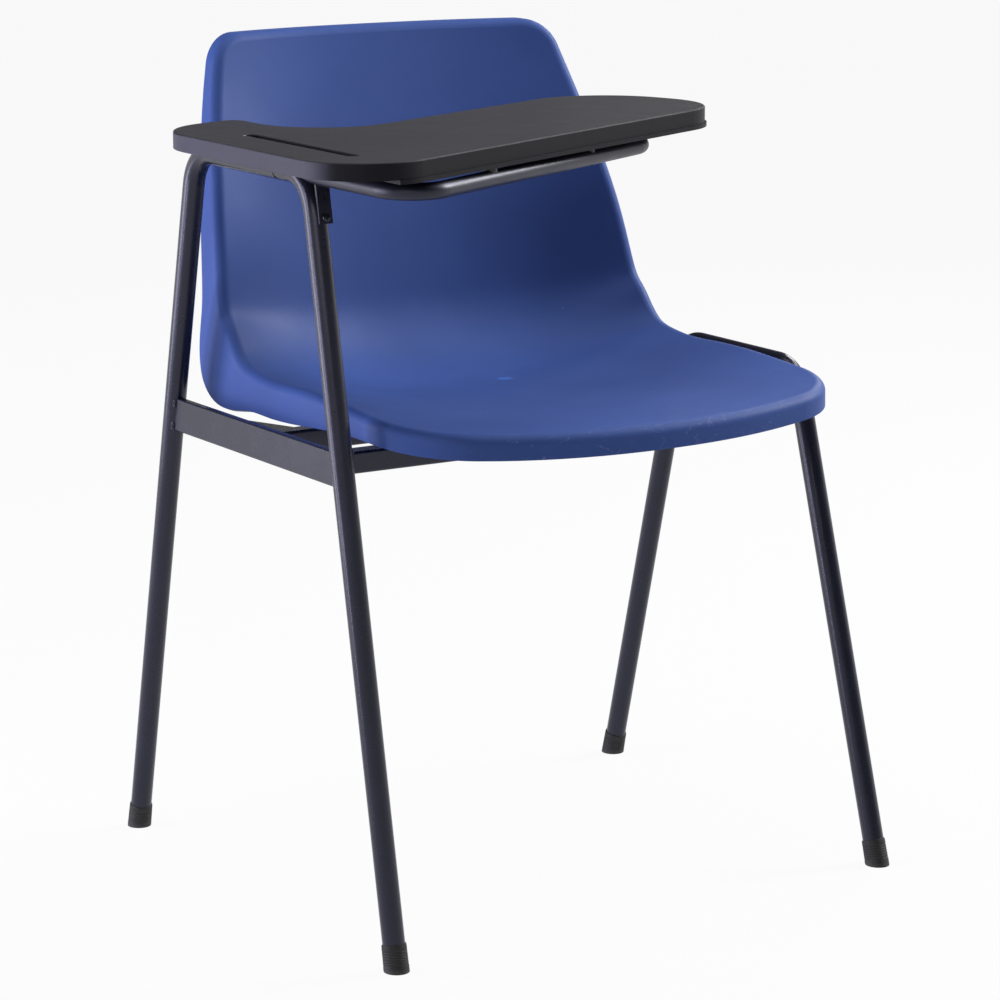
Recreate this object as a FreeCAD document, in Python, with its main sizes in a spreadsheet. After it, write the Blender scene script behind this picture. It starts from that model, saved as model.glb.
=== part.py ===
import FreeCAD, Part
import math
import os
from FreeCAD import Placement, Rotation, Vector

# Tablet arm chair: a one-piece plastic shell on two tubular side frames, with a
# writing tablet on a pivoting carrier tube. Millimetres, +Z up, the sitter faces -Y.
# The origin is on the floor, at the middle of the overall length and width.

os.makedirs("parts", exist_ok=True)
doc = FreeCAD.newDocument("TabletArmChair")
sheet = doc.addObject("Spreadsheet::Sheet", "Sizes")

SIZES = (
    ("leg_diameter", 20, "outside diameter of the side frame tube"),
    ("leg_wall", 1.2, "wall of the side frame tube"),
    ("bend_radius", 39, "centreline radius of the side frame bends"),
    ("arm_height", 678, "centre of the right frame's arm rail above the floor"),
    ("arm_front", 106, "arm rail's front corner, forward of the frame centre"),
    ("arm_rear", 106, "arm rail's rear corner, behind the frame centre"),
    ("right_foot_front", 242, "right front foot, forward of the frame centre"),
    ("right_foot_rear", 254, "right rear foot, behind the frame centre"),
    ("left_rise", 16, "gap between the left side rail and the frame's own rail above it"),
    ("left_height", "=bar_top + left_rise + leg_diameter / 2", "centre of the left frame's rail"),
    ("left_front", 88, "left rail's front corner, forward of the frame centre"),
    ("left_rear", 98, "left rail's rear corner, behind the frame centre"),
    ("left_foot_front", 229.5, "left front foot, forward of the frame centre"),
    ("left_foot_rear", 219, "left rear foot, behind the frame centre"),
    ("foot_wall", 1.4, "wall of a foot ferrule over its ribs"),
    ("foot_diameter", "=leg_diameter + 2 * foot_wall", "outside diameter of a foot ferrule"),
    ("foot_rib_depth", 0.6, "depth of the grooves between the ferrule's ribs"),
    ("foot_rib_count", 4, "number of ribs round a ferrule"),
    ("foot_height", 24, "length of a ferrule along the leg"),
    ("foot_sole", 6, "sole of a ferrule under the tube end"),
    ("foot_gap", 0.05, "play between a tube end and its ferrule"),
    ("rail_bottom", 411.5, "underside of the side rails above the floor"),
    ("rail_depth", 31, "height of the right side rail"),
    ("rail_thickness", 8, "thickness of the flat side rails"),
    ("rail_edge", 1.5, "rounding of the side rails' edges"),
    ("rear_bar_station", 12, "rear cross bar's centre, behind the frame centre"),
    ("bar_side", 20, "side of the square cross bars"),
    ("bar_wall", 1.5, "wall of the square cross bars"),
    ("bar_corner", 2.5, "outside corner radius of the cross bars"),
    ("bar_cope", 6, "reach of a cross bar's coped end into the leg, from the leg centre"),
    ("bar_top", "=rail_bottom + bar_side", "top of the cross bars above the floor"),
    ("gusset_width", 55, "width of the gusset along the rear cross bar"),
    ("gusset_length", 138, "length of the gusset along the right side rail"),
    ("gusset_thickness", 3, "thickness of the gusset"),
    ("gusset_tip", 3, "rounding of the gusset's tips"),
    ("seat_width", 478, "width of the shell over the seat"),
    ("frame_gap", 19, "gap between the shell's side and a side frame tube"),
    ("frame_half_width", "=seat_width / 2 + frame_gap + leg_diameter / 2", "centre plane to a side frame"),
    ("seat_front", 252, "shell's front edge, forward of the frame centre"),
    ("seat_rise", 24.5, "seat surface at the front edge above the cross bars"),
    ("seat_front_height", "=bar_top + seat_rise", "seat surface above the floor at the front edge"),
    ("seat_fall", 1.6, "backward fall of the seat in degrees"),
    ("back_top", 242, "shell's top edge, behind the frame centre"),
    ("back_top_height", 770, "shell's top edge above the floor"),
    ("back_recline", 15, "recline of the backrest in degrees"),
    ("shell_bend_radius", 95, "radius of the shell between seat and back"),
    ("shell_wall", 4.5, "wall of the shell"),
    ("shell_rim_radius", 9, "rounding of the shell's rim"),
    ("rim_rise_front", 10, "rise of the shell's sides at the front edge"),
    ("rim_rise_seat", 27, "rise of the shell's sides along the seat"),
    ("rim_rise_back", 49.5, "forward reach of the shell's sides at the low back"),
    ("rim_rise_top", 26, "forward reach of the shell's sides at the top"),
    ("rim_rise_bend", 7.7, "extra rise of the shell's sides where the seat meets the back"),
    ("flange_front", 22.4, "depth of the turned edge at the front"),
    ("flange_seat", 35.4, "depth of the turned edge along the seat"),
    ("flange_hold", 92, "length of the seat's sides that keeps the front depth of the turned edge"),
    ("flange_bend", 41.1, "extra depth of the turned edge where the seat meets the back"),
    ("flange_back", 35.7, "depth of the turned edge at the low back"),
    ("flange_top", 20, "depth of the turned edge at the top"),
    ("back_taper_start", 430, "height where the shell's sides begin to draw in"),
    ("back_draw", 42, "draw-in of each of the shell's sides where the top corners begin"),
    ("back_top_half_width", "=seat_width / 2 - back_draw", "half width where the top corners begin"),
    ("back_corner", 37, "radius of the shell's top corners"),
    ("seat_corner", 88, "radius of the shell's front corners in plan"),
    ("seat_front_bow", 18, "forward bow of the front edge in plan"),
    ("boss_diameter", 24, "diameter of the shell's mounting bosses"),
    ("boss_spread", 110, "mounting boss to the seat centre plane"),
    ("insert_diameter", 9, "outside diameter of a threaded insert"),
    ("insert_length", 12, "length of a threaded insert"),
    ("seat_screw_diameter", 6, "diameter of a seat screw"),
    ("seat_screw_head", 11, "diameter of a seat screw's head"),
    ("seat_screw_head_height", 4, "height of a seat screw's head"),
    ("washer_diameter", 12, "outside diameter of a seat washer"),
    ("washer_thickness", 1.5, "thickness of a seat washer"),
    ("washer_play", 0.5, "play round a seat washer in the bar's access hole"),
    ("screw_gap", 0.2, "radial play of a screw in its hole"),
    ("thread_gap", 0.05, "play between a screw and its thread"),
    ("bush_wall", 1.3, "space for a bush between the carrier and the arm rail's bore"),
    ("carrier_diameter", "=leg_diameter - 2 * leg_wall - 2 * bush_wall", "diameter of the carrier tube"),
    ("carrier_wall", 1.2, "wall of the carrier tube"),
    ("carrier_tail", 6, "carrier's rear end past the rear bush"),
    ("carrier_inset", 35.9, "carrier's front corner behind the board's outer front corner"),
    ("carrier_nose", "=board_front - carrier_inset", "carrier's front corner, forward of the frame centre"),
    ("carrier_bend", 30, "centreline radius of the carrier's front bend"),
    ("carrier_toe", 3.1, "carrier's cross run turned in from the board's front edge, in degrees"),
    ("carrier_angle", "=board_front_rake + carrier_toe", "angle of the carrier's cross run in degrees"),
    ("carrier_end_inset", 157.4, "carrier's end loop short of the board's reach"),
    ("carrier_run", "=board_reach - carrier_end_inset", "front corner to the carrier's end loop"),
    ("carrier_loop", 40, "centreline radius of the carrier's end loop"),
    ("carrier_return", 150, "length of the carrier's return run"),
    ("exit_gap", 0.3, "play round the carrier where it leaves the arm rail"),
    ("plug_flange", 2.5, "thickness of the carrier plug's cap"),
    ("plug_spigot", 10, "length of the carrier plug inside the tube"),
    ("bush_length", 16, "length of a pivot bush"),
    ("bush_play", 0.06, "running play of the carrier in its bushes"),
    ("bush_seat_gap", 0.02, "fit of a bush in the arm rail"),
    ("front_bush_setback", 11, "front bush behind the stop pin"),
    ("front_bush_front", "=pin_station - front_bush_setback", "front bush's front face, forward"),
    ("rear_bush_setback", 46, "rear bush's rear face forward of the arm rail's rear corner"),
    ("rear_bush_rear", "=arm_rear - rear_bush_setback", "rear bush's rear face, behind the frame centre"),
    ("pin_diameter", 3, "diameter of the stop pin"),
    ("pin_setback", 51, "stop pin behind the arm rail's front corner"),
    ("pin_station", "=arm_front - pin_setback", "stop pin, forward of the frame centre"),
    ("pin_angle", 28, "stop pin at rest, below the outboard side, in degrees"),
    ("pin_gap", 0.3, "play of the stop pin in its slot"),
    ("flip_angle", 90, "travel of the tablet in degrees"),
    ("plate_width", 13, "width of the carrier rest plate"),
    ("plate_thickness", 2.5, "thickness of the carrier rest plate"),
    ("plate_margin", 5, "rest plate's lower end below its screw"),
    ("plate_low", "=plate_screw_drop + plate_margin", "rest plate's length below the arm rail's centre"),
    ("plate_inset", 3, "rest plate's centre inboard of the leg centre"),
    ("plate_screw_drop", 38.5, "rest plate's screw below the arm rail's centre, along the leg"),
    ("plate_spare_rise", 16.5, "spare hole above the rest plate's screw"),
    ("plate_spare_diameter", 2.6, "diameter of the rest plate's spare hole"),
    ("plate_screw_diameter", 4, "diameter of the rest plate's screw"),
    ("plate_screw_head", 7.5, "diameter of the rest plate screw's head"),
    ("plate_screw_head_height", 2.4, "height of the rest plate screw's head"),
    ("plate_screw_reach", 8, "reach of the rest plate's screw behind the plate"),
    ("board_gap", 4, "gap between the arm rail and the board's underside"),
    ("board_bottom", "=arm_height + leg_diameter / 2 + board_gap", "board's underside above the floor"),
    ("board_thickness", 15, "thickness of the tablet board over the arm rail"),
    ("board_overhang", 72.7, "board's outer edge outboard of the arm rail's centre"),
    ("board_arm_width", 100.7, "width of the board's arm rest"),
    ("board_tail", 52, "board's outer rear corner, behind the frame centre"),
    ("board_tail_rake", 16, "angle of the board's rear end in degrees"),
    ("board_tail_corner", 82, "radius of the board's outer rear corner"),
    ("board_tail_tip", 12, "radius of the board's inner rear corner"),
    ("board_front", 310.9, "board's outer front corner, forward of the frame centre"),
    ("board_front_rake", 25.4, "angle of the board's front edge in degrees"),
    ("board_front_corner", 60, "radius of the board's outer front corner"),
    ("board_depth", 246.9, "board's outer front corner to its waist, front to back"),
    ("board_waist", "=board_front - board_depth", "board's inner corner, forward of the frame centre"),
    ("board_waist_radius", 64, "radius of the board's waist"),
    ("board_taper", 0.9, "board's rear edge turned from its front edge, in degrees"),
    ("board_rear_rake", "=board_front_rake - board_taper", "angle of the board's rear edge in degrees"),
    ("board_reach", 558.4, "board's outer edge to its far front corner"),
    ("board_tip_rake", 17.8, "angle of the board's far end in degrees"),
    ("board_tip_front", 80, "radius of the board's far front corner"),
    ("board_tip_rear", 78, "radius of the board's far rear corner"),
    ("board_edge", 1.5, "rounding of the board's upper edge"),
    ("lip_width", 1.7, "reach of the lip round the board's lower edge"),
    ("lip_drop", 3.6, "height of the lip, below the board's underside over the arm rail"),
    ("lip_end", 60, "lip's inner end past the board's inner corner"),
    ("groove_width", 12, "width of the pencil groove"),
    ("groove_depth", 5, "depth of the pencil groove"),
    ("groove_length", 186, "length of the pencil groove"),
    ("groove_inset", 50.7, "pencil groove's centre to the board's outer edge"),
    ("groove_rear", 36, "pencil groove's rear end, forward of the frame centre"),
    ("board_screw_diameter", 4, "diameter of a board screw"),
    ("board_screw_head", 7.5, "diameter of a board screw's head"),
    ("board_screw_head_height", 2.4, "height of a board screw's head"),
    ("board_screw_reach", 10, "reach of a board screw into the board"),
    ("access_gap", 0.55, "play round a board screw's head in its access hole"),
    ("access_diameter", "=board_screw_head + 2 * access_gap", "hole under a board screw's head"),
    ("spacer_diameter", 12, "diameter of a spacer between carrier and board"),
    ("arm_spot_inset", 103, "arm run's board screw behind the carrier's front corner"),
    ("arm_spot", "=carrier_nose - arm_spot_inset", "arm run's board screw, forward of the frame centre"),
    ("cross_spot_near", 130, "cross run's near board screw beyond the carrier's front corner"),
    ("cross_spot_inset", 94, "cross run's far board screw short of the carrier's end loop"),
    ("cross_spot_far", "=carrier_run - cross_spot_inset", "cross run's far board screw past the corner"),
    ("return_spot_inset", 40, "return run's board screw short of the carrier's open end"),
    ("return_spot", "=carrier_return - return_spot_inset", "return run's board screw past the end loop"),
)
for row, (alias, value, meaning) in enumerate(SIZES, start=1):
    sheet.set("A%d" % row, meaning)
    sheet.setAlias("B%d" % row, alias)
for row, (alias, value, meaning) in enumerate(SIZES, start=1):
    sheet.set("B%d" % row, str(value))
doc.recompute()
S = {alias: float(sheet.get(alias)) for alias, value, meaning in SIZES}

X = Vector(1, 0, 0)
Y = Vector(0, 1, 0)
Z = Vector(0, 0, 1)
DRAW_OUT = 25
CUT_PAST = 5
nodes = {}


def unit(vector):
    """Length-one copy of a vector."""
    return Vector(vector).normalize()


def corner(before, point, after, radius):
    """Tangent points, middle point and centre of the arc that rounds a corner."""
    arriving = unit(point - before)
    leaving = unit(after - point)
    half = arriving.getAngle(leaving) / 2
    inward = unit(leaving - arriving)
    centre = point + inward * (radius / math.cos(half))
    reach = radius * math.tan(half)
    return point - arriving * reach, centre - inward * radius, point + leaving * reach, centre


def fitting_radii(points, radii):
    """Corner radii, each no larger than the runs beside its corner leave room for."""
    count = len(points)
    reaches = []
    for index, radius in enumerate(radii):
        if radius:
            bend = corner(points[index - 1], points[index], points[(index + 1) % count], radius)
            reaches.append(points[index].distanceToPoint(bend[0]))
        else:
            reaches.append(0)
    fitting = []
    for index, radius in enumerate(radii):
        share = 1
        for beside in (index - 1, (index + 1) % count):
            room = points[index].distanceToPoint(points[beside])
            share = min(share, room / max(reaches[index] + reaches[beside], room))
        fitting.append(radius * share)
    return fitting


def run_edges(points, radii, closed):
    """Straight runs joined by tangent arcs, as edges in order."""
    count = len(points)
    bends = []
    for index, radius in enumerate(fitting_radii(points, radii)):
        if radius:
            before = points[index - 1]
            after = points[(index + 1) % count]
            bends.append(corner(before, points[index], after, radius)[:3])
        else:
            bends.append((points[index],) * 3)
    edges = []
    for index in range(count):
        start, middle, end = bends[index]
        if start.distanceToPoint(end) > 1e-6:
            edges.append(Part.Arc(start, middle, end).toShape())
        following = bends[(index + 1) % count][0]
        last = index == count - 1 and not closed
        if not last and end.distanceToPoint(following) > 1e-6:
            edges.append(Part.makeLine(end, following))
    return edges


def pipe(points, radii, radius):
    """Round solid along straight runs and bends."""
    path = Part.Wire(run_edges(points, radii, False))
    ring = Part.Wire([Part.makeCircle(radius, points[0], points[1] - points[0])])
    return path.makePipeShell([ring], True, False)


def feature(name, shape):
    """Shape kept in the document under its own name."""
    item = doc.addObject("Part::Feature", name)
    item.Shape = shape
    return item


def cylinder(name, radius, length, base, axis):
    """Cylinder whose radius and length follow the size table."""
    item = doc.addObject("Part::Cylinder", name)
    item.setExpression("Radius", radius)
    item.setExpression("Height", length)
    item.Placement = Placement(base, Rotation(Z, axis))
    return item


def cut(name, base, tools):
    """Base with every tool taken away."""
    item = doc.addObject("Part::Cut", name)
    item.Base = base
    if len(tools) == 1:
        item.Tool = tools[0]
    else:
        item.Tool = fuse(name + "_tools", tools)
    return item


def fuse(name, shapes):
    """Shapes joined into one."""
    item = doc.addObject("Part::MultiFuse", name)
    item.Shapes = shapes
    return item


def group(name, items):
    """Separate solids that are one node."""
    item = doc.addObject("Part::Compound", name)
    item.Links = items
    return item


def sketch_on(body, name, role, offset=0):
    """Empty sketch on one of the body's own origin planes."""
    sketch = body.newObject("Sketcher::SketchObject", name)
    plane = [part for part in body.Origin.OriginFeatures if part.Role == role][0]
    sketch.AttachmentSupport = [(plane, "")]
    sketch.MapMode = "FlatFace"
    sketch.AttachmentOffset = Placement(Vector(0, 0, offset), Rotation())
    return sketch


def rounded_box(sketch, width, height, radius):
    """Rounded rectangle about the sketch's origin."""
    across = width / 2
    up = height / 2
    points = [Vector(-across, -up), Vector(across, -up), Vector(across, up), Vector(-across, up)]
    for edge in run_edges(points, [radius] * 4, True):
        sketch.addGeometry(edge_geometry(edge), False)


def edge_geometry(edge):
    """Sketch geometry of a straight or round edge."""
    if isinstance(edge.Curve, Part.Line):
        return Part.LineSegment(edge.Vertexes[0].Point, edge.Vertexes[1].Point)
    return Part.ArcOfCircle(edge.Curve, edge.FirstParameter, edge.LastParameter)


def pad(body, name, sketch, length, midplane=False):
    """Pad whose length is an expression on the size table, or worked out from it."""
    item = body.newObject("PartDesign::Pad", name)
    item.Profile = sketch
    item.Midplane = midplane
    if isinstance(length, str):
        item.setExpression("Length", length)
    else:
        item.Length = length
    sketch.Visibility = False
    return item


# Board outline, about the seat centre plane and the frame centre.
arm_x = -S["frame_half_width"]
outer_x = arm_x - S["board_overhang"]
inner_x = outer_x + S["board_arm_width"]
far_x = outer_x + S["board_reach"]
front_slope = math.tan(math.radians(S["board_front_rake"]))
rear_slope = math.tan(math.radians(S["board_rear_rake"]))
tail_slope = math.tan(math.radians(S["board_tail_rake"]))
tip_slope = math.tan(math.radians(S["board_tip_rake"]))
outer_front = Vector(outer_x, -S["board_front"])
far_front = Vector(far_x, outer_front.y + front_slope * S["board_reach"])
waist = Vector(inner_x, -S["board_waist"])
rear_rise = waist.y + rear_slope * (far_x - inner_x) - far_front.y
far_rear_step = rear_rise / (1 + rear_slope * tip_slope)
far_rear = far_front + Vector(-tip_slope * far_rear_step, far_rear_step)
inner_tail = Vector(inner_x, S["board_tail"] + tail_slope * S["board_arm_width"])
outer_tail = Vector(outer_x, S["board_tail"])
board_points = [outer_front, far_front, far_rear, waist, inner_tail, outer_tail]
board_radii = [
    S["board_front_corner"],
    S["board_tip_front"],
    S["board_tip_rear"],
    S["board_waist_radius"],
    S["board_tail_tip"],
    S["board_tail_corner"],
]
nose_radius = fitting_radii(board_points, board_radii)[0]
nose = corner(outer_tail, outer_front, far_front, nose_radius)[3]

# Middle of the overall length and width, which is the origin.
foot_radius = S["foot_diameter"] / 2
rear_lean = math.atan2(S["right_foot_rear"] - S["arm_rear"], S["arm_height"])
foremost = nose.y - nose_radius - S["lip_width"]
rearmost = S["right_foot_rear"] + foot_radius / math.cos(rear_lean)
centre = Vector(
    (S["board_overhang"] - foot_radius) / 2,
    -(foremost + rearmost) / 2,
)


def at(x, y, z):
    """Point given from the seat centre plane and the frame centre."""
    return centre + Vector(x, y, z)


class SideFrame:
    """One bent tube: two legs and the rail between them."""

    def __init__(self, x, height, front, rear, foot_front, foot_rear):
        self.front_foot = at(x, -foot_front, 0)
        self.rear_foot = at(x, foot_rear, 0)
        self.front_corner = at(x, -front, height)
        self.rear_corner = at(x, rear, height)
        self.front_axis = unit(self.front_corner - self.front_foot)
        self.rear_axis = unit(self.rear_corner - self.rear_foot)
        sole = S["foot_sole"]
        self.points = [
            self.front_foot + self.front_axis * sole,
            self.front_corner,
            self.rear_corner,
            self.rear_foot + self.rear_axis * sole,
        ]
        self.radii = [0, S["bend_radius"], S["bend_radius"], 0]
        self.outside = pipe(self.points, self.radii, S["leg_diameter"] / 2)
        inside = pipe(self.points, self.radii, S["leg_diameter"] / 2 - S["leg_wall"])
        self.tube = self.outside.cut(inside)

    def leg_y(self, foot, axis, z):
        """Leg centre's y at a height."""
        return (foot + axis * (z / axis.z)).y


right = SideFrame(
    arm_x, S["arm_height"], S["arm_front"], S["arm_rear"], S["right_foot_front"], S["right_foot_rear"]
)
left = SideFrame(
    -arm_x, S["left_height"], S["left_front"], S["left_rear"], S["left_foot_front"], S["left_foot_rear"]
)
arm = at(arm_x, 0, S["arm_height"])


def arm_at(forward):
    """Point on the arm rail's centre, a length forward of the frame centre."""
    return arm - Y * forward


# Right side frame, with the carrier's way out and the stop pin's slot.
leg_radius = S["leg_diameter"] / 2
carrier_radius = S["carrier_diameter"] / 2
rest_lean = right.front_axis
plate_out = unit(X.cross(rest_lean))
if plate_out.y > 0:
    plate_out = plate_out * -1


def on_plate(drop):
    """Point on the front of the right front leg, level with the rest plate."""
    return right.front_corner - rest_lean * drop + plate_out * leg_radius + X * S["plate_inset"]


way_out = cylinder(
    "carrier_way_out",
    "Sizes.carrier_diameter / 2 + Sizes.exit_gap",
    "Sizes.arm_front + Sizes.bend_radius",
    arm_at(S["pin_station"]),
    Y * -1,
)
slot_width = S["pin_diameter"] + 2 * S["pin_gap"]
slot_end = math.degrees((S["pin_diameter"] / 2 + S["pin_gap"]) / leg_radius)
slot_start_rotation = Rotation(Y, 180 - S["pin_angle"] + slot_end)
slot = doc.addObject("Part::Cylinder", "stop_slot")
slot.setExpression("Radius", "Sizes.leg_diameter / 2 + Sizes.pin_diameter")
slot.setExpression("Height", "Sizes.pin_diameter + 2 * Sizes.pin_gap")
slot.Angle = S["flip_angle"] + 2 * slot_end
slot.Placement = Placement(
    arm_at(S["pin_station"] - slot_width / 2), slot_start_rotation.multiply(Rotation(X, 90))
)
plate_screw_hole = cylinder(
    "rest_plate_screw_hole",
    "Sizes.plate_screw_diameter / 2 + Sizes.thread_gap",
    "2 * Sizes.plate_screw_reach",
    on_plate(S["plate_screw_drop"]) + plate_out * S["plate_screw_reach"],
    plate_out * -1,
)
right_tube = feature("right_tube_blank", right.tube)
nodes["right_side_frame_tube"] = cut("right_side_frame_tube", right_tube, [way_out, slot, plate_screw_hole])
nodes["left_side_frame_tube"] = feature("left_side_frame_tube", left.tube)

# Ribbed foot ferrules, flat on the floor.
FEET = (
    ("foot_front_right", right.front_foot, right.front_axis),
    ("foot_rear_right", right.rear_foot, right.rear_axis),
    ("foot_front_left", left.front_foot, left.front_axis),
    ("foot_rear_left", left.rear_foot, left.rear_axis),
)
rib_count = int(S["foot_rib_count"])
rib_pitch = (S["foot_height"] - S["foot_sole"]) / rib_count
for name, foot, axis in FEET:
    core = cylinder(
        name + "_core",
        "Sizes.foot_diameter / 2 - Sizes.foot_rib_depth",
        "Sizes.foot_height + Sizes.foot_diameter",
        foot - axis * S["foot_diameter"],
        axis,
    )
    sole = cylinder(
        name + "_sole_ring",
        "Sizes.foot_diameter / 2",
        "Sizes.foot_sole + Sizes.foot_diameter",
        foot - axis * S["foot_diameter"],
        axis,
    )
    ribs = [core, sole]
    for rib in range(rib_count):
        ribs.append(
            cylinder(
                "%s_rib_%d" % (name, rib + 1),
                "Sizes.foot_diameter / 2",
                "(Sizes.foot_height - Sizes.foot_sole) / Sizes.foot_rib_count / 2",
                foot + axis * (S["foot_sole"] + rib_pitch * (rib + 0.5)),
                axis,
            )
        )
    bore = cylinder(
        name + "_bore",
        "Sizes.leg_diameter / 2 + Sizes.foot_gap",
        "Sizes.foot_height",
        foot + axis * S["foot_sole"],
        axis,
    )
    below = doc.addObject("Part::Box", name + "_floor")
    below.setExpression("Length", "4 * Sizes.foot_diameter")
    below.setExpression("Width", "4 * Sizes.foot_diameter")
    below.setExpression("Height", "2 * Sizes.foot_diameter")
    below.Placement.Base = foot - Vector(2, 2, 2) * S["foot_diameter"]
    nodes[name] = cut(name, fuse(name + "_blank", ribs), [bore, below])

# Flat side rails, coped onto the legs of each side frame.
right_outside = feature("right_frame_outside", right.outside)
left_outside = feature("left_frame_outside", left.outside)
RAILS = (
    ("right_side_rail", right, right_outside, "rail_depth"),
    ("left_side_rail", left, left_outside, "bar_side"),
)
for name, frame, outside, depth in RAILS:
    middle = S["rail_bottom"] + S[depth] / 2
    front = frame.leg_y(frame.front_foot, frame.front_axis, middle)
    rear = frame.leg_y(frame.rear_foot, frame.rear_axis, middle)
    rail_body = doc.addObject("PartDesign::Body", name + "_body")
    rail_sketch = sketch_on(rail_body, name + "_section", "XZ_Plane")
    rounded_box(rail_sketch, S["rail_thickness"], S[depth], S["rail_edge"])
    pad(rail_body, name + "_pad", rail_sketch, rear - front, True)
    rail_body.Placement.Base = Vector(frame.front_foot.x, (front + rear) / 2, middle)
    nodes[name] = cut(name, rail_body, [outside])

# Cross bars: the front one ends on the left front leg, the rear one on the left rail.
bar_middle = S["rail_bottom"] + S["bar_side"] / 2
bar_top = S["bar_top"]
bar_start = arm.x + S["rail_thickness"] / 2
bars = (
    ("front", left.leg_y(left.front_foot, left.front_axis, bar_middle), left.front_foot.x - S["bar_cope"]),
    ("rear", at(0, S["rear_bar_station"], 0).y, left.front_foot.x - S["rail_thickness"] / 2),
)
seat_points = []
for side, bar_y, bar_end in bars:
    bar_body = doc.addObject("PartDesign::Body", side + "_bar_body")
    bar_sketch = sketch_on(bar_body, side + "_bar_section", "YZ_Plane")
    rounded_box(bar_sketch, S["bar_side"], S["bar_side"], S["bar_corner"])
    hollow = S["bar_side"] - 2 * S["bar_wall"]
    rounded_box(bar_sketch, hollow, hollow, S["bar_corner"] - S["bar_wall"])
    pad(bar_body, side + "_bar_pad", bar_sketch, bar_end - bar_start)
    bar_body.Placement.Base = Vector(bar_start, bar_y, bar_middle)
    holes = [left_outside]
    for spread in (-S["boss_spread"], S["boss_spread"]):
        point = Vector(centre.x + spread, bar_y, S["rail_bottom"])
        seat_points.append(point)
        holes.append(
            cylinder(
                "%s_bar_hole_%d" % (side, len(seat_points)),
                "Sizes.seat_screw_diameter / 2 + Sizes.screw_gap",
                "2 * Sizes.bar_side",
                point - Z * S["bar_side"] / 2,
                Z,
            )
        )
        holes.append(
            cylinder(
                "%s_bar_access_%d" % (side, len(seat_points)),
                "Sizes.washer_diameter / 2 + Sizes.washer_play",
                "Sizes.bar_side",
                point - Z * S["bar_side"] / 2,
                Z,
            )
        )
    nodes[side + "_cross_bar"] = cut(side + "_cross_bar", bar_body, holes)

# Gusset between the right side rail and the rear cross bar.
gusset_body = doc.addObject("PartDesign::Body", "gusset_body")
gusset_sketch = sketch_on(gusset_body, "gusset_outline", "XY_Plane")
gusset_points = [Vector(), Vector(S["gusset_width"]), Vector(0, S["gusset_length"])]
for edge in run_edges(gusset_points, [0, S["gusset_tip"], S["gusset_tip"]], True):
    gusset_sketch.addGeometry(edge_geometry(edge), False)
pad(gusset_body, "gusset_pad", gusset_sketch, "Sizes.gusset_thickness")
gusset_base = bar_top - S["bar_corner"] - S["gusset_thickness"]
gusset_body.Placement.Base = Vector(bar_start, bars[1][1] + S["bar_side"] / 2, gusset_base)
nodes["rail_gusset"] = gusset_body

# Shell: a dished sheet that follows the seat and back line, with a turned edge.
fall = math.radians(S["seat_fall"])
recline = math.radians(S["back_recline"])
along_seat = Vector(0, math.cos(fall), -math.sin(fall))
along_back = Vector(0, math.sin(recline), math.cos(recline))
off_seat = Vector(0, math.sin(fall), math.cos(fall))
seat_edge = at(0, -S["seat_front"], S["seat_front_height"])
top_edge = at(0, S["back_top"], S["back_top_height"])
span = top_edge - seat_edge
cross = along_seat.y * along_back.z - along_seat.z * along_back.y
to_crease = (span.y * along_back.z - span.z * along_back.y) / cross
up_back = (along_seat.y * span.z - along_seat.z * span.y) / cross
turn = along_seat.getAngle(along_back)
crease_reach = S["shell_bend_radius"] * math.tan(turn / 2)
seat_run = to_crease - crease_reach
bend_run = S["shell_bend_radius"] * turn
back_run = up_back - crease_reach
bend_start = seat_edge + along_seat * seat_run
bend_centre = bend_start + off_seat * S["shell_bend_radius"]
from_bend = Rotation(X, math.degrees(turn)).multVec(off_seat)


def ease(start, end, place):
    """Smooth step from 0 at start to 1 at end."""
    share = min(max((place - start) / (end - start), 0), 1)
    return share * share * (3 - 2 * share)


def line_point(place):
    """Point and normal of the shell's middle line, a length behind the front edge."""
    if place <= seat_run:
        return seat_edge + along_seat * place, off_seat
    if place <= seat_run + bend_run:
        angle = math.degrees((place - seat_run) / S["shell_bend_radius"])
        toward = Rotation(X, angle).multVec(off_seat)
        return bend_centre - toward * S["shell_bend_radius"], toward
    start = bend_centre - from_bend * S["shell_bend_radius"]
    return start + along_back * (place - seat_run - bend_run), from_bend


def blend(front, seat, back, top, place, hold=0, full=0.58):
    """Size that changes along the seat and back line, and first holds its front value."""
    bend_end = seat_run + bend_run
    value = front + (seat - front) * ease(hold, to_crease * full, place)
    value += (back - seat) * ease(seat_run - bend_run / 2, bend_end - bend_run / 6, place)
    return value + (top - back) * ease(bend_end + back_run * 0.15, bend_end + back_run, place)


def swell(place):
    """Share of the extra depth where the seat meets the back, 1 at the crease."""
    away = (place - seat_run) / bend_run - 0.513
    reach = 0.287 if away < 0 else 0.247
    return math.exp(-((away / reach) ** 2) / 2)


def taper_radius():
    """Radius of the curve that draws the shell's sides in."""
    drop = S["seat_width"] / 2 - S["back_top_half_width"]
    rise = S["back_top_height"] - S["back_corner"] - S["back_taper_start"]
    return (rise * rise + drop * drop) / (2 * drop)


def half_width(z):
    """Half width of the shell at a height."""
    above = max(z - S["back_taper_start"], 0)
    radius = taper_radius()
    return S["seat_width"] / 2 - (radius - math.sqrt(radius * radius - above * above))


def sheet_point(place, share, drop):
    """Point of the dished sheet, a depth behind the sitter's side."""
    point, toward = line_point(place)
    rise = blend(S["rim_rise_front"], S["rim_rise_seat"], S["rim_rise_back"], S["rim_rise_top"], place)
    rise += S["rim_rise_bend"] * swell(place)
    rim = point + toward * rise
    lift = rise * abs(share) ** 2.4
    return Vector(centre.x + share * half_width(rim.z), point.y, point.z) + toward * (lift - drop)


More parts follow.
